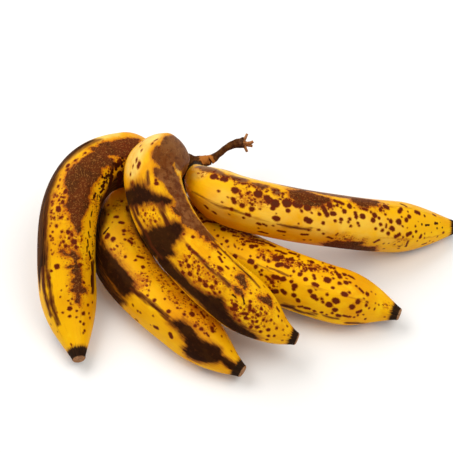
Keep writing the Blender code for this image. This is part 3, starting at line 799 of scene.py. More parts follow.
        "sprayed": [[(215, 174), (250, 186), (290, 198), (335, 204), (375, 206), 4.0, 1.3, 110]],
        "streaky": [
            [(192, 191.3), (200.3, 196), (210.5, 202.1), (223.3, 207.2), (230.9, 208.8), 0.15],
            [(230.9, 208.8), (239.8, 213), (248.8, 214.9), 0.25], [(277, 224), (293, 227), (311, 230), 0.3],
            [(315, 201), (328, 201.4), 1.2],
        ],
        "spots": [
            [(213.2, 176.5), (214.8, 176.6), 2.9], [(223, 178.6), (225, 179.6), 2.6], [(235.4, 190.4), 3.1],
            [(258.3, 194.3), 3.8], [(266.8, 197.7), 2.8], [(268.5, 201.5), 2.4], [(275.1, 203.6), 4.2],
            [(286.5, 203), 4.4], [(296.5, 204), (299.5, 204.3), 3.6], [(307, 208), 3.4],
            [(272.4, 208.2), 2.2], [(288.2, 210.2), 2.0], [(301.8, 211), 1.5],
            [(275.4, 218.4), (277.8, 218.8), 2.3], [(306.6, 219.8), (309.4, 220.4), 2.6],
            [(233.2, 198.6), 1.8], [(235, 202.1), 1.9], [(242.7, 205.5), 2.2], [(252, 208.8), 2.4],
            [(251.6, 204.3), 1.6], [(250, 202.8), 1.0], [(260.3, 201.8), 1.3], [(248.1, 192.9), 1.5],
            [(240.8, 196.7), 1.1], [(239.8, 193.2), 1.0], [(253.9, 199.2), 1.0], [(255.2, 201.8), 1.0],
            [(248.8, 198.3), 0.8], [(271.4, 198.6), 1.3], [(264, 203), 0.8], [(260.3, 208.8), 0.8],
            [(276.5, 214.2), 0.6], [(204.5, 205.9), (206.7, 208.2), 1.1],
            [(213.1, 211.7), (215.6, 213.3), 1.0], [(230.9, 208.9), 1.3], [(229, 214.1), 0.8],
            [(246.6, 214.7), (249.1, 215.1), 1.5], [(243.4, 217.6), 1.1],
            [(257.9, 224), (259.6, 224.3), 1.4], [(266.6, 225.8), 1.0], [(259, 228.3), 0.9],
            [(259.9, 231.8), (266.6, 233.4), 1.3], [(278.4, 231.1), (285, 232), 1.3], [(283.9, 235.6), 1.0],
            [(227.1, 197), 0.6], [(222, 202.1), 0.9], [(218.5, 190.6), 1.0], [(322.9, 222.9), 1.5],
            [(298.7, 223.5), 0.7], [(308.2, 229.8), 1.2], [(301.8, 234.4), (307, 234.7), 1.2],
            [(304, 239.7), 1.2], [(310.2, 240), 1.1], [(329.7, 205.4), 2.9],
            [(322.6, 206.8), (327.5, 215.7), 2.1], [(319.9, 213.9), 1.8],
            [(331.7, 213.7), (334, 213.3), 2.3], [(323, 223.3), 1.5], [(335.4, 220.6), 1.4],
            [(340.9, 219.1), 1.9], [(335, 200.5), (343.5, 203.6), 1.6], [(349.4, 206.3), 2.5],
            [(344.7, 211.7), 2.2], [(349.4, 218.8), 1.6], [(348.5, 221.8), 1.3], [(350.7, 225.7), 1.3],
            [(355.2, 213), (356.5, 217), 1.7], [(362.6, 216.2), 2.7], [(357.7, 222.9), 1.2],
            [(359.6, 226.2), 1.2], [(363.2, 208.4), (366.3, 209.9), 1.3], [(370.8, 212.1), 1.3],
            [(374.4, 215.3), 2.5], [(373.5, 219.9), 2.4], [(378.8, 218.4), 1.3], [(380.6, 209.5), 1.9],
            [(381.5, 207.5), 1.5], [(385, 206.6), (387, 207.6), 2.7], [(385.1, 214.4), 1.1],
            [(390.9, 221.1), 2.1], [(388.2, 219.3), 0.9], [(398.5, 221.7), 3.2],
            [(399, 211.3), (401.6, 209), 1.9], [(401.2, 204.1), (406, 206.3), 1.4], [(407.9, 211.3), 0.9],
            [(409.2, 216.4), 2.3], [(406.3, 219.9), 2.3], [(402, 217), 0.9], [(403, 226.7), 1.0],
            [(415.4, 212.1), (419, 213), 1.9], [(424.4, 216), 1.3], [(432.9, 214.4), (435.5, 215.7), 1.0],
            [(391.5, 228.6), (393, 229), 2.3], [(380.4, 224.2), 1.6], [(386.2, 223.8), (386, 227.3), 0.9],
            [(375.5, 228.2), 1.4], [(382.2, 229.8), 1.6], [(388.2, 233.8), 1.9],
            [(395.4, 236.7), (399.4, 234), 1.7], [(403, 237.1), 1.0], [(407.4, 235.1), (410.5, 233.1), 1.8],
            [(416.3, 231.2), 1.6], [(415.6, 226.4), 1.1], [(420.2, 237), (421.4, 235.6), 1.6],
            [(413.2, 236.7), 1.0], [(417.5, 241), 0.9], [(407.9, 241.6), (405.6, 246.5), 1.1],
            [(399.4, 246.1), 1.2], [(398.5, 248.3), 1.2], [(394.5, 244.3), 1.0], [(388.7, 243.4), 0.8],
            [(383.6, 243.6), 0.9], [(374.8, 242.3), (378.6, 240.3), 1.3],
            [(422.6, 244.3), (426.6, 243), 0.9], [(432.9, 241.6), 0.8], [(431.5, 232.5), 0.5],
            [(424.6, 233.6), 0.7], [(437.3, 236.4), 0.7], [(424.6, 238), 0.7], [(407.4, 227.8), 0.6],
            [(383.8, 248.8), 0.9], [(328, 237.1), (332, 238), 1.1], [(336, 234.9), (337.8, 234), 0.8],
            [(328.2, 241.2), 0.9],
        ],
        "dark": [
            [(421.7, 224.6), 1.5], [(425.7, 225.1), (429.3, 224.6), 1.2],
            [(434.6, 223.8), (437.3, 223.3), 1.3], [(437.3, 228.2), 1.3], [(442.2, 227.3), 1.1],
            [(440, 222.4), 0.7],
        ],
        "mottledAndShade": [
            [(245, 197), (260, 201), 7, 0.8], [(300, 200), (330, 204), 6, 0.6], [(380, 205), 8, 0.6],
            [(345, 240), 9, 0.6], [(400, 243), 8, 0.4], [(202, 173), 6, 0.5],
        ],
        # Painted highlights along the lit top edge and across the middle
        "pale": [
            [(205, 166), (226, 172), (260, 180), (300, 187), (350, 195), 7, 1.0], [(200, 172), 8, 0.6],
            [(225, 205), (280, 215), (340, 226), (390, 232), 14, 0.3],
        ],
    },
}


patchKinds = ("brown", "grey", "black", "bandAndShade")
strokeKinds = ("streaky", "spots", "dark")
cloudKinds = ("mottledAndShade", "pale")
cloudEdge = 1.5          # in radii: a cloud has faded out here, and is full one radius nearer
fleckKinds = {"flecked": "dark", "sprayed": "spots"}
smallestFleck = 0.3      # of the largest

# The seed of each draw, to which the banana's number is added
seeds = {"flecks": 20, "bruises": 40, "spots": 41, "freckles": 42, "patches": 43}

hiddenSide = {
    "facing": 0.10,          # skin that faces the camera less than this is hidden, over so wide a change
    "facingFade": 0.35,
    "bruiseWaves": 10,
    "bruiseLength": 90.0,
    "bruiseLevel": 0.95,     # waves higher than this are bruises
    "bruiseDepth": 9.0,
    "bruiseSeenLoss": 14.0,  # how much shallower they are on the seen side, and on the neck
    "bruiseNeckLoss": 10.0,
    "patchWaves": 8,
    "patchLength": 60.0,
    "ridgeSharpness": 6,
    "ridgeFill": 1.6,
    "ridgeDepth": 1.8,
    "ridgeInset": 1.4,
    "ridgeSeenLoss": 6.0,
    "mottling": 0.35,        # everywhere, then how much it follows the patches, and the most of it
    "mottlingByPatch": 0.4,
    "mottlingMost": 0.8,
    "spots": (260, (0.7, 3.0)),
    "spotShare": 0.75,
    "freckles": (1100, (0.35, 0.85)),
    "freckleShare": 0.08,    # on clear skin, and how much more of them where it is mottled
    "freckleMottled": 0.8,
}


def markPeel(peel):
    # Depths in millimetres for each kind of mark, read by the peel's material
    seen, back = marks[peel.name], hiddenSide
    full = (len(peel.rowAlong), len(peel.around))
    depths = {kind: np.full(full, -markReach) for kind in patchKinds + strokeKinds}
    depths.update({kind: np.zeros(full) for kind in cloudKinds})

    def deepen(kind, depth):
        depths[kind] = np.maximum(depths[kind], depth)

    for kind in patchKinds:
        for corners in seen.get(kind, []):
            deepen(kind, insideDepth(peel, corners))
    for kind in strokeKinds:
        for stroke in seen.get(kind, []):
            deepen(kind, strokeDepth(peel, stroke))
    chance = np.random.default_rng(seeds["flecks"] + peel.number)
    for kind, shade in fleckKinds.items():
        for *chain, reach, largest, count in seen.get(kind, []):
            chain = np.array(chain)
            for place in chance.random(count) * (len(chain) - 1):
                first = int(place)
                across = chance.normal(0.0, reach / 2.0, 2)
                spot = chain[first] * (first + 1 - place) + chain[first + 1] * (place - first)
                radius = chance.uniform(smallestFleck * largest, largest)
                deepen(shade, strokeDepth(peel, [tuple(spot + across), radius]))
    for kind in cloudKinds:
        for *chain, radius, strength in seen.get(kind, []):
            fromChain = strokeDepth(peel, [*chain, 0.0]) / (radius * cameraView["mmPerPixel"])
            deepen(kind, smoothStep(cloudEdge + fromChain) * strength)

    # The sides that the picture doesn't show are marked by chance in the same way
    hidden = smoothStep((back["facing"] - peel.facing) / back["facingFade"])
    around, along, onBody = peel.around[None, :], peel.rowAlong[:, None], peel.bodyRow[:, None]
    bruises = waves(seeds["bruises"] + peel.number, around, along, back["bruiseWaves"], back["bruiseLength"])
    deepen("brown", (bruises - back["bruiseLevel"]) * back["bruiseDepth"]
           - back["bruiseSeenLoss"] * (1.0 - hidden) - back["bruiseNeckLoss"] * (1.0 - onBody))
    patchy = waves(seeds["patches"] + peel.number, around, along, back["patchWaves"], back["patchLength"])
    crests = (np.maximum(peel.ridgeCrest, 0.0) ** back["ridgeSharpness"])[None, :] * hidden * onBody
    deepen("streaky", crests * (back["ridgeFill"] + patchy) * back["ridgeDepth"]
           - back["ridgeInset"] - back["ridgeSeenLoss"] * (1.0 - hidden))
    mottling = np.clip(back["mottling"] + back["mottlingByPatch"] * patchy, 0.0, back["mottlingMost"])
    deepen("mottledAndShade", hidden * mottling)
    spotted = hidden * back["spotShare"] * onBody
    scatterSpots(peel, depths["spots"], seeds["spots"] + peel.number, *back["spots"], spotted)
    freckled = (back["freckleShare"] + back["freckleMottled"] * depths["mottledAndShade"]) * onBody
    scatterSpots(peel, depths["spots"], seeds["freckles"] + peel.number, *back["freckles"], freckled)

    # The neck is dead and black, and so is the last of the tip round its scar
    tipStart = peel.length - peelShape["tipNubLength"] - peel.banana["blackTip"]
    scar = along - peel.length + peelShape["scarRim"] + peelShape["scarCork"] * peel.scarShare[:, None]
    ends = {"neck": peelShape["blackNeck"] - along, "tip": along - tipStart, "scar": scar,
            "crest": peel.ridgeCrest[None, :] * onBody}
    depths.update({kind: np.broadcast_to(depth, full) for kind, depth in ends.items()})
    values = {kind: np.clip(depth, -markReach, markReach) for kind, depth in depths.items()}

    # Patterns lie on a straight roll of skin, so that they don't stretch where the fruit bends
    roll = (np.cos(around) * unrollRadius, np.sin(around) * unrollRadius,
            along + peelShape["patternGap"] * peel.number)
    return values, np.stack([np.broadcast_to(axis, full) for axis in roll], axis=2)


weldDistance = 0.002


def makeBanana(peel, material):
    columns, rows = len(peel.around), len(peel.rowAlong)
    builder = bmesh.new()
    builder.loops.layers.uv.new("OFBake")
    bmesh.ops.create_grid(builder, x_segments=columns - 1, y_segments=rows - 1, size=1.0, calc_uvs=True)
    mesh = bpy.data.meshes.new(peel.name + "_skin")
    builder.to_mesh(mesh)
    builder.free()

    # Each vertex of the flat grid goes to its place on the fruit
    flat = np.empty(len(mesh.vertices) * 3)
    mesh.vertices.foreach_get("co", flat)
    flat = flat.reshape(-1, 3)
    column = np.rint((flat[:, 0] + 1.0) / 2.0 * (columns - 1)).astype(int)
    row = np.rint((flat[:, 1] + 1.0) / 2.0 * (rows - 1)).astype(int)
    mesh.vertices.foreach_set("co", (peel.points[row, column] * mm).ravel())
    values, roll = markPeel(peel)
    for kind, value in values.items():
        mesh.attributes.new(kind, "FLOAT", "POINT").data.foreach_set("value", value[row, column])
    place = mesh.attributes.new("peelPlace", "FLOAT_VECTOR", "POINT")
    place.data.foreach_set("vector", roll[row, column].ravel())

    # The seam under the fruit and both poles are welded
    builder = bmesh.new()
    builder.from_mesh(mesh)
    bmesh.ops.remove_doubles(builder, verts=builder.verts, dist=weldDistance * mm)
    bmesh.ops.recalc_face_normals(builder, faces=builder.faces)
    builder.to_mesh(mesh)
    builder.free()
    skin = addPiece(peel.name + "_skin", mesh, material)
    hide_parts(peel.name)
    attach(skin, "root")


# The peel's noises: the size of their features in millimetres, their detail, and how far they are
# drawn out along the fruit
peelGrains = {
    "cloud": (38.0, 2.0, 1.0),
    "patch": (11.0, 3.0, 1.0),
    "coarse": (5.0, 4.0, 1.0),
    "crumb": (2.6, 3.0, 1.0),
    "speck": (1.0, 2.0, 1.0),
    "flame": (2.2, 4.0, 4.5),
    "fibre": (0.9, 3.0, 14.0),
}
grainRoughness = 0.55

# Small round dots, one to each cell of this size in millimetres, and the widest share of it
peelDots = {"wide": (3.3, 0.36), "fine": (2.0, 0.34)}
dotEdge = 0.1

peelGloss = {
    "roughness": 0.38,
    "ior": 1.45,
    "specular": 0.06,
    "scatter": 0.05,
    "scatterScale": 0.002,
    "bumpStrength": 0.8,
}


def makePeelMaterial():
    # Ripe banana peel: waxy and satin, with dead brown tissue that is duller than the yellow
    peel = newMaterial("ripe_banana_peel")
    place = addNode(peel, "Attribute", attribute_name="peelPlace").outputs["Vector"]
    depth = {}
    for kind in (*patchKinds, *strokeKinds, *cloudKinds, "neck", "tip", "scar", "crest"):
        depth[kind] = addNode(peel, "Attribute", attribute_name=kind).outputs["Fac"]
    grains, dots = {}, {}
    for name, (size, detail, stretch) in peelGrains.items():
        squeezed = addNode(peel, "VectorMath", {0: place, 1: (1.0, 1.0, 1.0 / stretch)}, operation="MULTIPLY")
        sockets = {"Vector": squeezed.outputs[0], "Scale": 1.0 / size, "Detail": detail,
                   "Roughness": grainRoughness}
        grains[name] = addNode(peel, "TexNoise", sockets).outputs[0]
    for name, (spacing, widest) in peelDots.items():
        sockets = {"Vector": place, "Scale": 1.0 / spacing, "Randomness": 1.0}
        cells = addNode(peel, "TexVoronoi", sockets, feature="F1")
        dots[name] = maskOf(peel, (cells.outputs["Distance"], widest, widest - dotEdge))
    cloud, patch, coarse, crumb, speck, flame, fibre = grains.values()

    # Living peel: deep yellow, more orange in clouds, with faint lengthwise fibres.
    # Reddish mottling over it is many small dots that haven't yet grown together; a few strokes are painted
    # shade
    mottledAndShade = maskOf(peel, (depth["mottledAndShade"], 0.05, 0.6))
    colour = layOver(
        peel, linear("#F2B206"),
        ("#E49A05", (cloud, 0.42, 0.68)),
        ("#F7C414", (patch, 0.50, 0.72, 0.6)),
        ("#CF7D06", (fibre, 0.56, 0.78, 0.35)),
        # Painted highlight: pale cream where the pale clouds lie
        ("#F0CC68", depth["pale"], (patch, 0.25, 0.6)),
        ("#AE640C", (depth["crest"], 0.90, 1.0), (flame, 0.46, 0.66), 0.55),
        # Mottling clouds and their dots; along banana_front_left's edge under banana_top they are painted
        # shade
        ("#B4640E", depth["mottledAndShade"], (crumb, 0.50, 0.62), 0.8),
        ("#B85E08", depth["mottledAndShade"], (coarse, 0.42, 0.60), 0.7),
        ("#A2500A", dots["fine"], mottledAndShade),
        ("#86380A", dots["wide"], mottledAndShade),
    )

    # Each kind of mark has its own ragged edge: these are depths inside it, in millimetres
    brown = ragged(peel, depth["brown"], (coarse, 2.0), (crumb, 1.8), (speck, 1.5))
    grey = ragged(peel, depth["grey"], (coarse, 2.2), (crumb, 1.5), (speck, 0.9))
    black = ragged(peel, depth["black"], (flame, 3.0), (crumb, 1.4))
    bandAndShade = ragged(peel, depth["bandAndShade"], (flame, 1.8), (crumb, 0.8))
    streak = ragged(peel, depth["streaky"], (flame, 2.4))
    spot = ragged(peel, depth["spots"], (speck, 0.5), (crumb, 0.75))
    dark = ragged(peel, depth["dark"], (speck, 0.3), (crumb, 0.6))
    neck = ragged(peel, depth["neck"], (flame, 5.0), (coarse, 2.0))
    tip = ragged(peel, depth["tip"], (flame, 2.2), (crumb, 0.8))
    scar = ragged(peel, depth["scar"], (crumb, 0.5))

    # Dying skin round the marks: orange to red-brown, with a spray of dots outside a bruise
    colour = layOver(
        peel, colour,
        ("#8A4410", dots["fine"], (depth["brown"], -5.0, -1.0)),
        ("#C4700A", (brown, -5.0, -0.5, 0.45)),
        ("#A84A0A", (brown, -2.2, 0.2, 0.80)),
        ("#C0700C", (grey, -3.6, -0.4, 0.45)),
        ("#98501A", (grey, -1.6, 0.3, 0.85)),
        ("#B4640C", (black, -6.5, -1.5, 0.50)),
        ("#7A3A0C", (black, -3.8, 0.2, 0.85)),
        # Rim of the dark bands, which are partly painted shade
        ("#8A4A0E", (bandAndShade, -3.6, 0.2, 0.80)),
        ("#7A3E10", (streak, -1.5, 0.2, 0.85)),
        ("#A04E0E", (spot, -0.75, -0.05, 0.70)),
        ("#7C4612", (neck, -6.0, 0.0, 0.75)),
        ("#8A5014", (tip, -2.4, 0.2, 0.70)),
    )

    # Brown bruises: red-brown dead tissue with olive clouds and fine paler specks
    deadBrown = layOver(
        peel, linear("#602C0C"),
        ("#50290C", (patch, 0.40, 0.60)),
        ("#662A0E", (cloud, 0.50, 0.64, 0.7)),
        ("#341404", (crumb, 0.52, 0.70, 0.55)),
        ("#9E662E", (speck, 0.52, 0.68, 0.6)),
    )
    # Scuffed skin, smoother and paler than a bruise and almost grey where it has weathered most
    scuffed = layOver(
        peel, linear("#845028"),
        ("#663212", (coarse, 0.42, 0.62)),
        ("#6E3A10", (cloud, 0.46, 0.62, 0.7)),
        # Painted highlight on scuffed skin where a pale cloud crosses it
        ("#8A6238", depth["pale"], 0.75),
        ("#A07848", (speck, 0.58, 0.72, 0.35)),
        ("#50280E", (crumb, 0.50, 0.68, 0.65)),
    )
    # Black, fully dead patches, and the dark bands: dead tissue along the ridges, and painted shade on flanks
    # in shadow
    nearBlack = layOver(
        peel, linear("#2A1002"),
        ("#361A03", (patch, 0.42, 0.60)),
        ("#4C2408", (crumb, 0.54, 0.72, 0.5)),
    )
    bandAndShadeBrown = layOver(
        peel, linear("#562E0A"),
        ("#2A1202", (fibre, 0.40, 0.60)),
        ("#7A4A12", (flame, 0.56, 0.72, 0.7)),
    )
    # Spots, the dead neck and tip, and the pale cork of the scar
    spotBrown = layOver(peel, linear("#641E02"), ("#58230A", (depth["spots"], 0.5, 1.6)))
    dead = layOver(peel, linear("#20130A"), ("#3B2412", (fibre, 0.42, 0.66)))
    cork = layOver(peel, linear("#B98A62"), ("#7E5232", (speck, 0.4, 0.66)))

    # Where each kind lies. Round spots are hardly seen where a darker patch covers the skin
    brownShare = maskOf(peel, (brown, -0.4, 0.5))
    blackShare = maskOf(peel, (black, -1.6, 1.2))
    bandAndShadeShare = maskOf(peel, (bandAndShade, -1.4, 1.8))
    spotShare = maskOf(peel, (spot, -0.2, 0.35))
    darkShare = maskOf(peel, (dark, -0.25, 0.4))
    neckShare = maskOf(peel, (neck, -1.5, 1.5))
    tipShare = maskOf(peel, (tip, -0.6, 0.8))
    covered = anyOf(peel, maskOf(peel, brownShare, 0.5), blackShare, bandAndShadeShare)
    spotSeen = addNode(peel, "Math", {0: spotShare, 1: covered}, operation="SUBTRACT").outputs[0]
    colour = layOver(
        peel, colour,
        (deadBrown, brownShare),
        (scuffed, (grey, -0.3, 0.6)),
        (nearBlack, blackShare),
        # Dark bands: dead tissue, and painted shade on flanks that lie in shadow
        (bandAndShadeBrown, bandAndShadeShare),
        ("#4E2006", (streak, -0.4, 1.2)),
        (spotBrown, spotSeen),
        ("#3E1402", darkShare),
        (dead, neckShare),
        (dead, tipShare),
        (cork, (scar, -0.3, 0.5)),
    )

    # Dead tissue is duller, and every mark lies slightly below the live skin
    patchShare = anyOf(peel, brownShare, blackShare, bandAndShadeShare)
    dotShare = anyOf(peel, spotShare, darkShare)
    endShare = anyOf(peel, neckShare, tipShare)
    rough = weighted(peel, peelGloss["roughness"], (speck, 0.10), (patchShare, 0.30), (dotShare, 0.10),
                     (endShare, 0.30))
    height = weighted(peel, 0.0, (fibre, 0.05), (speck, 0.035), (crumb, 0.05), (dotShare, -0.05),
                      (patchShare, -0.12), (maskOf(peel, patchShare, crumb), 0.18),
                      (maskOf(peel, endShare, fibre), 0.5))     # all in millimetres
    bump = addNode(peel, "Bump", {"Height": height, "Distance": mm, "Strength": peelGloss["bumpStrength"]})
    shader = addNode(peel, "BsdfPrincipled", {
        "Base Color": colour, "Roughness": rough, "Normal": bump.outputs[0], "IOR": peelGloss["ior"],
        "Specular IOR Level": peelGloss["specular"], "Subsurface Weight": peelGloss["scatter"],
        "Subsurface Scale": peelGloss["scatterScale"],
    })
    addNode(peel, "OutputMaterial", {"Surface": shader.outputs[0]})
    return peel


# The crown that holds the five necks, and the neck of the banana that was torn off

crown = {
    "centre": (-34.5, 41.0, 19.0),
    "halfSize": (15.2, 8.7, 12.7),
    "cutBackY": 48.0,
    "cutInset": 0.3,
    "cutRelief": 0.35,
    "cutPale": (1.4, 1.0),       # how deep the cut face is pale, and over how long a change
    "rootRadius": 5.4,
    "rootLength": 11.0,
    "collar": 3.0,               # how far the bark runs up each neck
    "collarRadius": 5.6,
    "coneSides": 32,
    "coreSegments": (48, 32),    # round it, and from pole to pole
    "tornRootStart": (-26.0, 41.0, 22.0),
    "tornRootRadius": 5.2,
    "voxel": 0.5,
    "smoothings": 6,
    "smoothing": 0.5,            # how far each one goes
    "barkDepth": 0.5,
    "fibreDepth": 0.7,           # both are shares of barkDepth
    "knotDepth": 0.5,
    "fibrePattern": (0.9, 0.12, 0.9),   # turns of the noise to a millimetre
    "knotPattern": 0.22,
    "cutPattern": 0.5,
    "tornScar": (-15.8, 39.5, 29.0),
    "tornScarReach": 6.8,
}

tornNeck = {
    "path": [(-11.7, 39.7, 27.5), (-5.5, 43.7, 29.5), (0, 47.8, 31.5), (5.6, 50, 33), (12.8, 50.3, 34.5)],
    "radii": [3.7, 2.5, 2.4, 3.0, 3.8],
    "rows": 120,
    "sides": 56,
    "facets": 4,
    "facetDepth": 0.05,
    "twist": 0.03,
    "ribs": 13,
    "ribDepth": 0.03,
    "ribSway": (0.7, 0.4),
    "lumpSeed": 7,
    "lumpDepth": 0.05,
    "lumpWaves": 6,
    "lumpLength": 9.0,
    "lipStart": 0.9,             # shares of the length
    "lipLength": 0.1,
    "lipTeeth": ((0.9, 5, 0), (0.6, 11, 1)),   # height, number and turn
    "pithRings": (0.72, 0.4, 0.0),
    "pithDepth": 1.2,
    "paleEnd": (0.80, 0.16),     # where the torn end turns pale, and over what share of the length
    "scarLength": 4.0,
}

tornStrips = {
    "width": 4.4,
    "narrowing": 0.75,           # share of the width that is gone at a tip
    "taper": 1.5,
    "thickness": 1.7,
    "rootDepth": 1.4,
    "cup": 0.5,
    "ragged": 0.35,
    "raggedPattern": (5, 3),
    "segments": (14, 6),
    "tips": [(2.8, 4.8, 5.0), (7.6, 0.6, 1.8), (7.6, -1.8, -0.4), (2.8, -5.4, -4.4)],
    "curl": [(0.5, 1.2, 1.4), (0.0, 1.4, 1.0), (0.2, -1.2, 0.9), (0.6, -1.0, -1.4)],
}


def addCone(builder, start, end, startRadius, endRadius):
    start, end = Vector(start), Vector(end)
    made = bmesh.ops.create_cone(builder, cap_ends=True, segments=crown["coneSides"], radius1=startRadius,
                                 radius2=endRadius, depth=(end - start).length)
    turn = Vector((0, 0, 1)).rotation_difference(end - start).to_matrix()
    bmesh.ops.rotate(builder, matrix=turn, verts=made["verts"])
    bmesh.ops.translate(builder, vec=(start + end) / 2, verts=made["verts"])


def weldSolids(name, builder, voxelSize):
    # Overlapping closed shapes become one skin
    mesh = bpy.data.meshes.new(name)
    builder.to_mesh(mesh)
    builder.free()
    rough = bpy.data.objects.new(name + "_rough", mesh)
    bpy.context.scene.collection.objects.link(rough)
    remesh = rough.modifiers.new("weld", "REMESH")
    remesh.mode = "VOXEL"
    remesh.voxel_size = voxelSize
    depsgraph = bpy.context.evaluated_depsgraph_get()
    welded = bpy.data.meshes.new_from_object(rough.evaluated_get(depsgraph))
    bpy.data.objects.remove(rough, do_unlink=True)
    welded.name = name
    return welded


def makeCrown(material):
    builder = bmesh.new()
    coreAround, coreUp = crown["coreSegments"]
    bmesh.ops.create_uvsphere(builder, u_segments=coreAround, v_segments=coreUp, radius=1.0)
    bmesh.ops.scale(builder, vec=crown["halfSize"], verts=builder.verts)
    bmesh.ops.translate(builder, vec=crown["centre"], verts=builder.verts)
    for banana in bananas.values():
        start = Vector(banana["path"][0])
        ahead = (Vector(banana["path"][1]) - start).normalized()
        addCone(builder, start - ahead * crown["rootLength"], start + ahead * crown["collar"],
                crown["rootRadius"], crown["collarRadius"])
    addCone(builder, crown["tornRootStart"], Vector(tornNeck["path"][0]),
            crown["tornRootRadius"], tornNeck["radii"][0])
    bmesh.ops.scale(builder, vec=(mm, mm, mm), verts=builder.verts)
    mesh = weldSolids("crown_bark", builder, crown["voxel"] * mm)

    builder = bmesh.new()
    builder.from_mesh(mesh)
    for _ in range(crown["smoothings"]):
        bmesh.ops.smooth_vert(builder, verts=builder.verts, factor=crown["smoothing"],
                              use_axis_x=True, use_axis_y=True, use_axis_z=True)
    builder.normal_update()
    for vertex in builder.verts:
        place = vertex.co / mm
        # Fibres run from the cut back towards the necks, so the noise is drawn out along them
        fibre = noise.noise(place * Vector(crown["fibrePattern"]))
        knot = noise.noise(place * crown["knotPattern"])
        relief = (crown["fibreDepth"] * fibre + crown["knotDepth"] * knot) * crown["barkDepth"]
        vertex.co += vertex.normal * relief * mm
        uneven = crown["cutRelief"] * noise.noise(place * crown["cutPattern"])
        vertex.co.y = min(vertex.co.y, (crown["cutBackY"] - crown["cutInset"] + uneven) * mm)
    bmesh.ops.translate(builder, vec=Vector(placeOnTable) * mm, verts=builder.verts)
    cutShare = builder.verts.layers.float.new("cutFace")
    tornShare = builder.verts.layers.float.new("tornScar")
    tornAt = Vector(crown["tornScar"]) + Vector(placeOnTable)
    backAt = crown["cutBackY"] + placeOnTable[1]
    paleDepth, paleFade = crown["cutPale"]
    for vertex in builder.verts:
        place = vertex.co / mm
        vertex[cutShare] = max(0.0, min(1.0, (place.y - backAt + paleDepth) / paleFade))
        vertex[tornShare] = max(0.0, 1.0 - (place - tornAt).length / crown["tornScarReach"])
    builder.to_mesh(mesh)
    builder.free()
    bark = addPiece("crown_bark", mesh, material)
    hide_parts("crown")
    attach(bark, "root")


def makeTornNeck(material):
    rows, sides = tornNeck["rows"], tornNeck["sides"]
    even = np.linspace(0.0, 1.0, rows)
    centres, along = splineThrough(tornNeck["path"], even)
    centres += placeOnTable
    tangents, ups, across = carriedFrames(centres, rows // 2)
    radii = np.interp(even, np.linspace(0, 1, len(tornNeck["radii"])), tornNeck["radii"])
    around = np.linspace(-math.pi, math.pi, sides + 1)
    # Soft facets that twist a little, fine fibres, and a jagged lip at the torn end
    far = along[:, None]
    twist = around[None, :] + far * tornNeck["twist"]
    sway, swayPattern = tornNeck["ribSway"]
    relief = 1.0 + tornNeck["facetDepth"] * np.cos(tornNeck["facets"] * twist)
    relief += tornNeck["ribDepth"] * np.cos(tornNeck["ribs"] * twist + sway * np.sin(far * swayPattern))
    relief += tornNeck["lumpDepth"] * waves(tornNeck["lumpSeed"], twist, far, tornNeck["lumpWaves"],
                                            tornNeck["lumpLength"])
    reach = radii[:, None] * relief
    upShare, sideShare = np.cos(around)[None, :, None], np.sin(around)[None, :, None]
    direction = upShare * ups[:, None, :] + sideShare * across[:, None, :]
    points = centres[:, None, :] + direction * reach[:, :, None]
    teeth = sum(height * np.cos(count * around + turn) for height, count, turn in tornNeck["lipTeeth"])
    lip = smoothStep((even - tornNeck["lipStart"]) / tornNeck["lipLength"])[:, None] * teeth[None, :]
    points += tangents[:, None, :] * lip[:, :, None]
    # The end closes over a sunken pith
    inner = tornNeck["pithRings"]
    floor = centres[-1] - tangents[-1] * tornNeck["pithDepth"]
    pith = [floor + direction[-1] * (reach[-1] * share)[:, None] for share in inner]
    root = np.broadcast_to(centres[0], points[0].shape)
    points = np.concatenate([root[None], points, np.array(pith)])
    paleStart, paleFade = tornNeck["paleEnd"]
    endShare = np.concatenate([[0.0], smoothStep((even - paleStart) / paleFade), [1.0] * len(inner)])
    rootShare = np.concatenate([[1.0], 1.0 - smoothStep(along / tornNeck["scarLength"]), [0.0] * len(inner)])

    builder = bmesh.new()
    builder.loops.layers.uv.new("OFBake")
    bmesh.ops.create_grid(builder, x_segments=sides, y_segments=len(points) - 1, size=1.0, calc_uvs=True)
    pale = builder.verts.layers.float.new("cutFace")
    scar = builder.verts.layers.float.new("tornScar")
    for vertex in builder.verts:
        column = round((vertex.co.x + 1) / 2 * sides)
        row = round((vertex.co.y + 1) / 2 * (len(points) - 1))
        vertex.co = Vector(points[row, column]) * mm
        vertex[pale] = endShare[row]
        vertex[scar] = rootShare[row]
    bmesh.ops.remove_doubles(builder, verts=builder.verts, dist=weldDistance * mm)
    bmesh.ops.recalc_face_normals(builder, faces=builder.faces)
    mesh = bpy.data.meshes.new("torn_neck_bark")
    builder.to_mesh(mesh)
    builder.free()
    neck = addPiece("torn_neck_bark", mesh, material)
    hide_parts("torn_neck")
    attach(neck, "root")
    return centres[-1], tangents[-1]


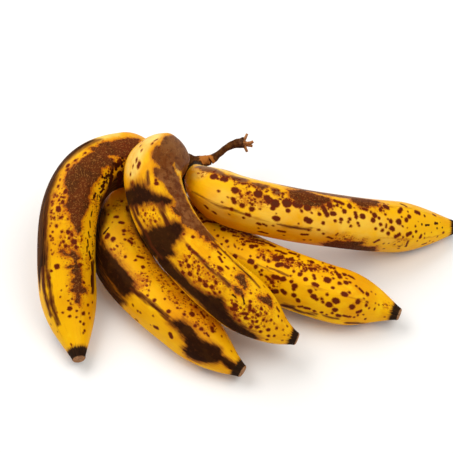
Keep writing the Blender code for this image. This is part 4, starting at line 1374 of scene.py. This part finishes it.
def makeTornStrips(end, ahead, material):
    # Strips of peel still stand on the torn end, each thinning and curling to its tip
    builder = bmesh.new()
    builder.loops.layers.uv.new("OFBake")
    root = Vector(end - ahead * tornStrips["rootDepth"])
    lengthwise, sideways = tornStrips["segments"]
    alongPattern, acrossPattern = tornStrips["raggedPattern"]
    for tip, curl in zip(tornStrips["tips"], tornStrips["curl"]):
        tip, curl = Vector(tip), Vector(curl)
        begin, finish = root + tip.normalized(), root + tip
        bow = (begin + finish) / 2 - curl
        flat = (finish - begin).cross(Vector(ahead)).normalized()
        thick = (finish - begin).cross(flat).normalized()
        before = len(builder.verts)
        bmesh.ops.create_grid(builder, x_segments=lengthwise, y_segments=sideways, size=0.5, calc_uvs=True)
        builder.verts.ensure_lookup_table()
        for vertex in builder.verts[before:]:
            share, side = vertex.co.x + 0.5, vertex.co.y
            centre = begin * (1 - share) ** 2 + bow * (2 * share * (1 - share)) + finish * share ** 2
            narrowed = tornStrips["narrowing"] * share ** tornStrips["taper"]
            width = tornStrips["width"] * (1.0 - narrowed)
            cup = tornStrips["cup"] * (side * 2) ** 2 * (1 - share)
            pattern = noise.noise(Vector((share * alongPattern, side * acrossPattern, tip.y)))
            aside = side * width + tornStrips["ragged"] * pattern
            vertex.co = (centre + flat * aside + thick * cup) * mm
    bmesh.ops.recalc_face_normals(builder, faces=builder.faces)
    bmesh.ops.solidify(builder, geom=builder.faces[:], thickness=tornStrips["thickness"] * mm)
    mesh = bpy.data.meshes.new("torn_strips")
    builder.to_mesh(mesh)
    builder.free()
    strips = addPiece("torn_strips", mesh, material)
    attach(strips, "root")


driedStem = {
    "fibre": (1.6, (1.0, 0.22, 1.0)),    # size of its features, and how fine they are along each axis
    "crumb": (3.2, (1.0, 1.0, 1.0)),
    "detail": 4.0,
    "grainRoughness": 0.6,
    "roughness": 0.8,
    "specular": 0.06,
    "bumpHeight": 0.6,
    "bumpStrength": 0.9,
}

tornPeel = {
    "fibreSize": 1.1,
    "detail": 4.0,
    "roughness": 0.65,
    "bumpHeight": 0.3,
    "bumpStrength": 0.8,
}


def makeDriedStem():
    # Dried crown tissue: black-brown bark with corky fibres, matte, paler where it was cut or torn
    bark = newMaterial("dried_stem_bark")
    place = addNode(bark, "TexCoord").outputs["Object"]
    grains = []
    for size, fineness in (driedStem["fibre"], driedStem["crumb"]):
        squeezed = addNode(bark, "VectorMath", {0: place, 1: fineness}, operation="MULTIPLY")
        sockets = {"Vector": squeezed.outputs[0], "Scale": 1.0 / (size * mm), "Detail": driedStem["detail"],
                   "Roughness": driedStem["grainRoughness"]}
        grains.append(addNode(bark, "TexNoise", sockets).outputs[0])
    fibre, crumb = grains
    cut = addNode(bark, "Attribute", attribute_name="cutFace").outputs["Fac"]
    torn = addNode(bark, "Attribute", attribute_name="tornScar").outputs["Fac"]
    pith = layOver(bark, linear("#6B452A"), ("#3C2414", (crumb, 0.42, 0.6)))
    colour = layOver(
        bark, linear("#42200A"),
        ("#5C3614", (fibre, 0.40, 0.62)),
        ("#78481E", (crumb, 0.56, 0.78)),
        (pith, (weighted(bark, cut, (fibre, 0.5)), 0.55, 1.15)),
        ("#B06A2A", (weighted(bark, torn, (crumb, 1.2)), 0.86, 1.14)),
    )
    bump = addNode(bark, "Bump", {"Height": fibre, "Distance": driedStem["bumpHeight"] * mm,
                                  "Strength": driedStem["bumpStrength"]})
    shader = addNode(bark, "BsdfPrincipled", {"Base Color": colour, "Roughness": driedStem["roughness"],
                                              "Normal": bump.outputs[0],
                                              "Specular IOR Level": driedStem["specular"]})
    addNode(bark, "OutputMaterial", {"Surface": shader.outputs[0]})
    return bark


def makeTornPeel():
    # The fresh inside of torn peel, dried to a pale orange leather
    torn = newMaterial("torn_dry_peel")
    place = addNode(torn, "TexCoord").outputs["Object"]
    fibre = addNode(torn, "TexNoise", {"Vector": place, "Scale": 1.0 / (tornPeel["fibreSize"] * mm),
                                       "Detail": tornPeel["detail"]}).outputs[0]
    share = addNode(torn, "MapRange", {"Value": fibre, "From Min": 0.38, "From Max": 0.64}).outputs[0]
    colour = layOver(torn, linear("#B4742E"), ("#8A4C18", share))
    bump = addNode(torn, "Bump", {"Height": fibre, "Distance": tornPeel["bumpHeight"] * mm,
                                  "Strength": tornPeel["bumpStrength"]})
    shader = addNode(torn, "BsdfPrincipled", {"Base Color": colour, "Roughness": tornPeel["roughness"],
                                              "Normal": bump.outputs[0]})
    addNode(torn, "OutputMaterial", {"Surface": shader.outputs[0]})
    return torn


print("frame loaded")
eye = makeCamera()
makeStudio()
print("camera and studio made")
peelMaterial = makePeelMaterial()
for number, (name, banana) in enumerate(bananas.items()):
    peel = Peel(name, banana, number + 1)
    peel.lookFrom(eye)
    makeBanana(peel, peelMaterial)
    print("made", name, "length", round(float(peel.length), 1), "mm")
stemBark = makeDriedStem()
makeCrown(stemBark)
tornEnd, tornAhead = makeTornNeck(stemBark)
makeTornStrips(tornEnd, tornAhead, makeTornPeel())
print("made crown and torn neck")
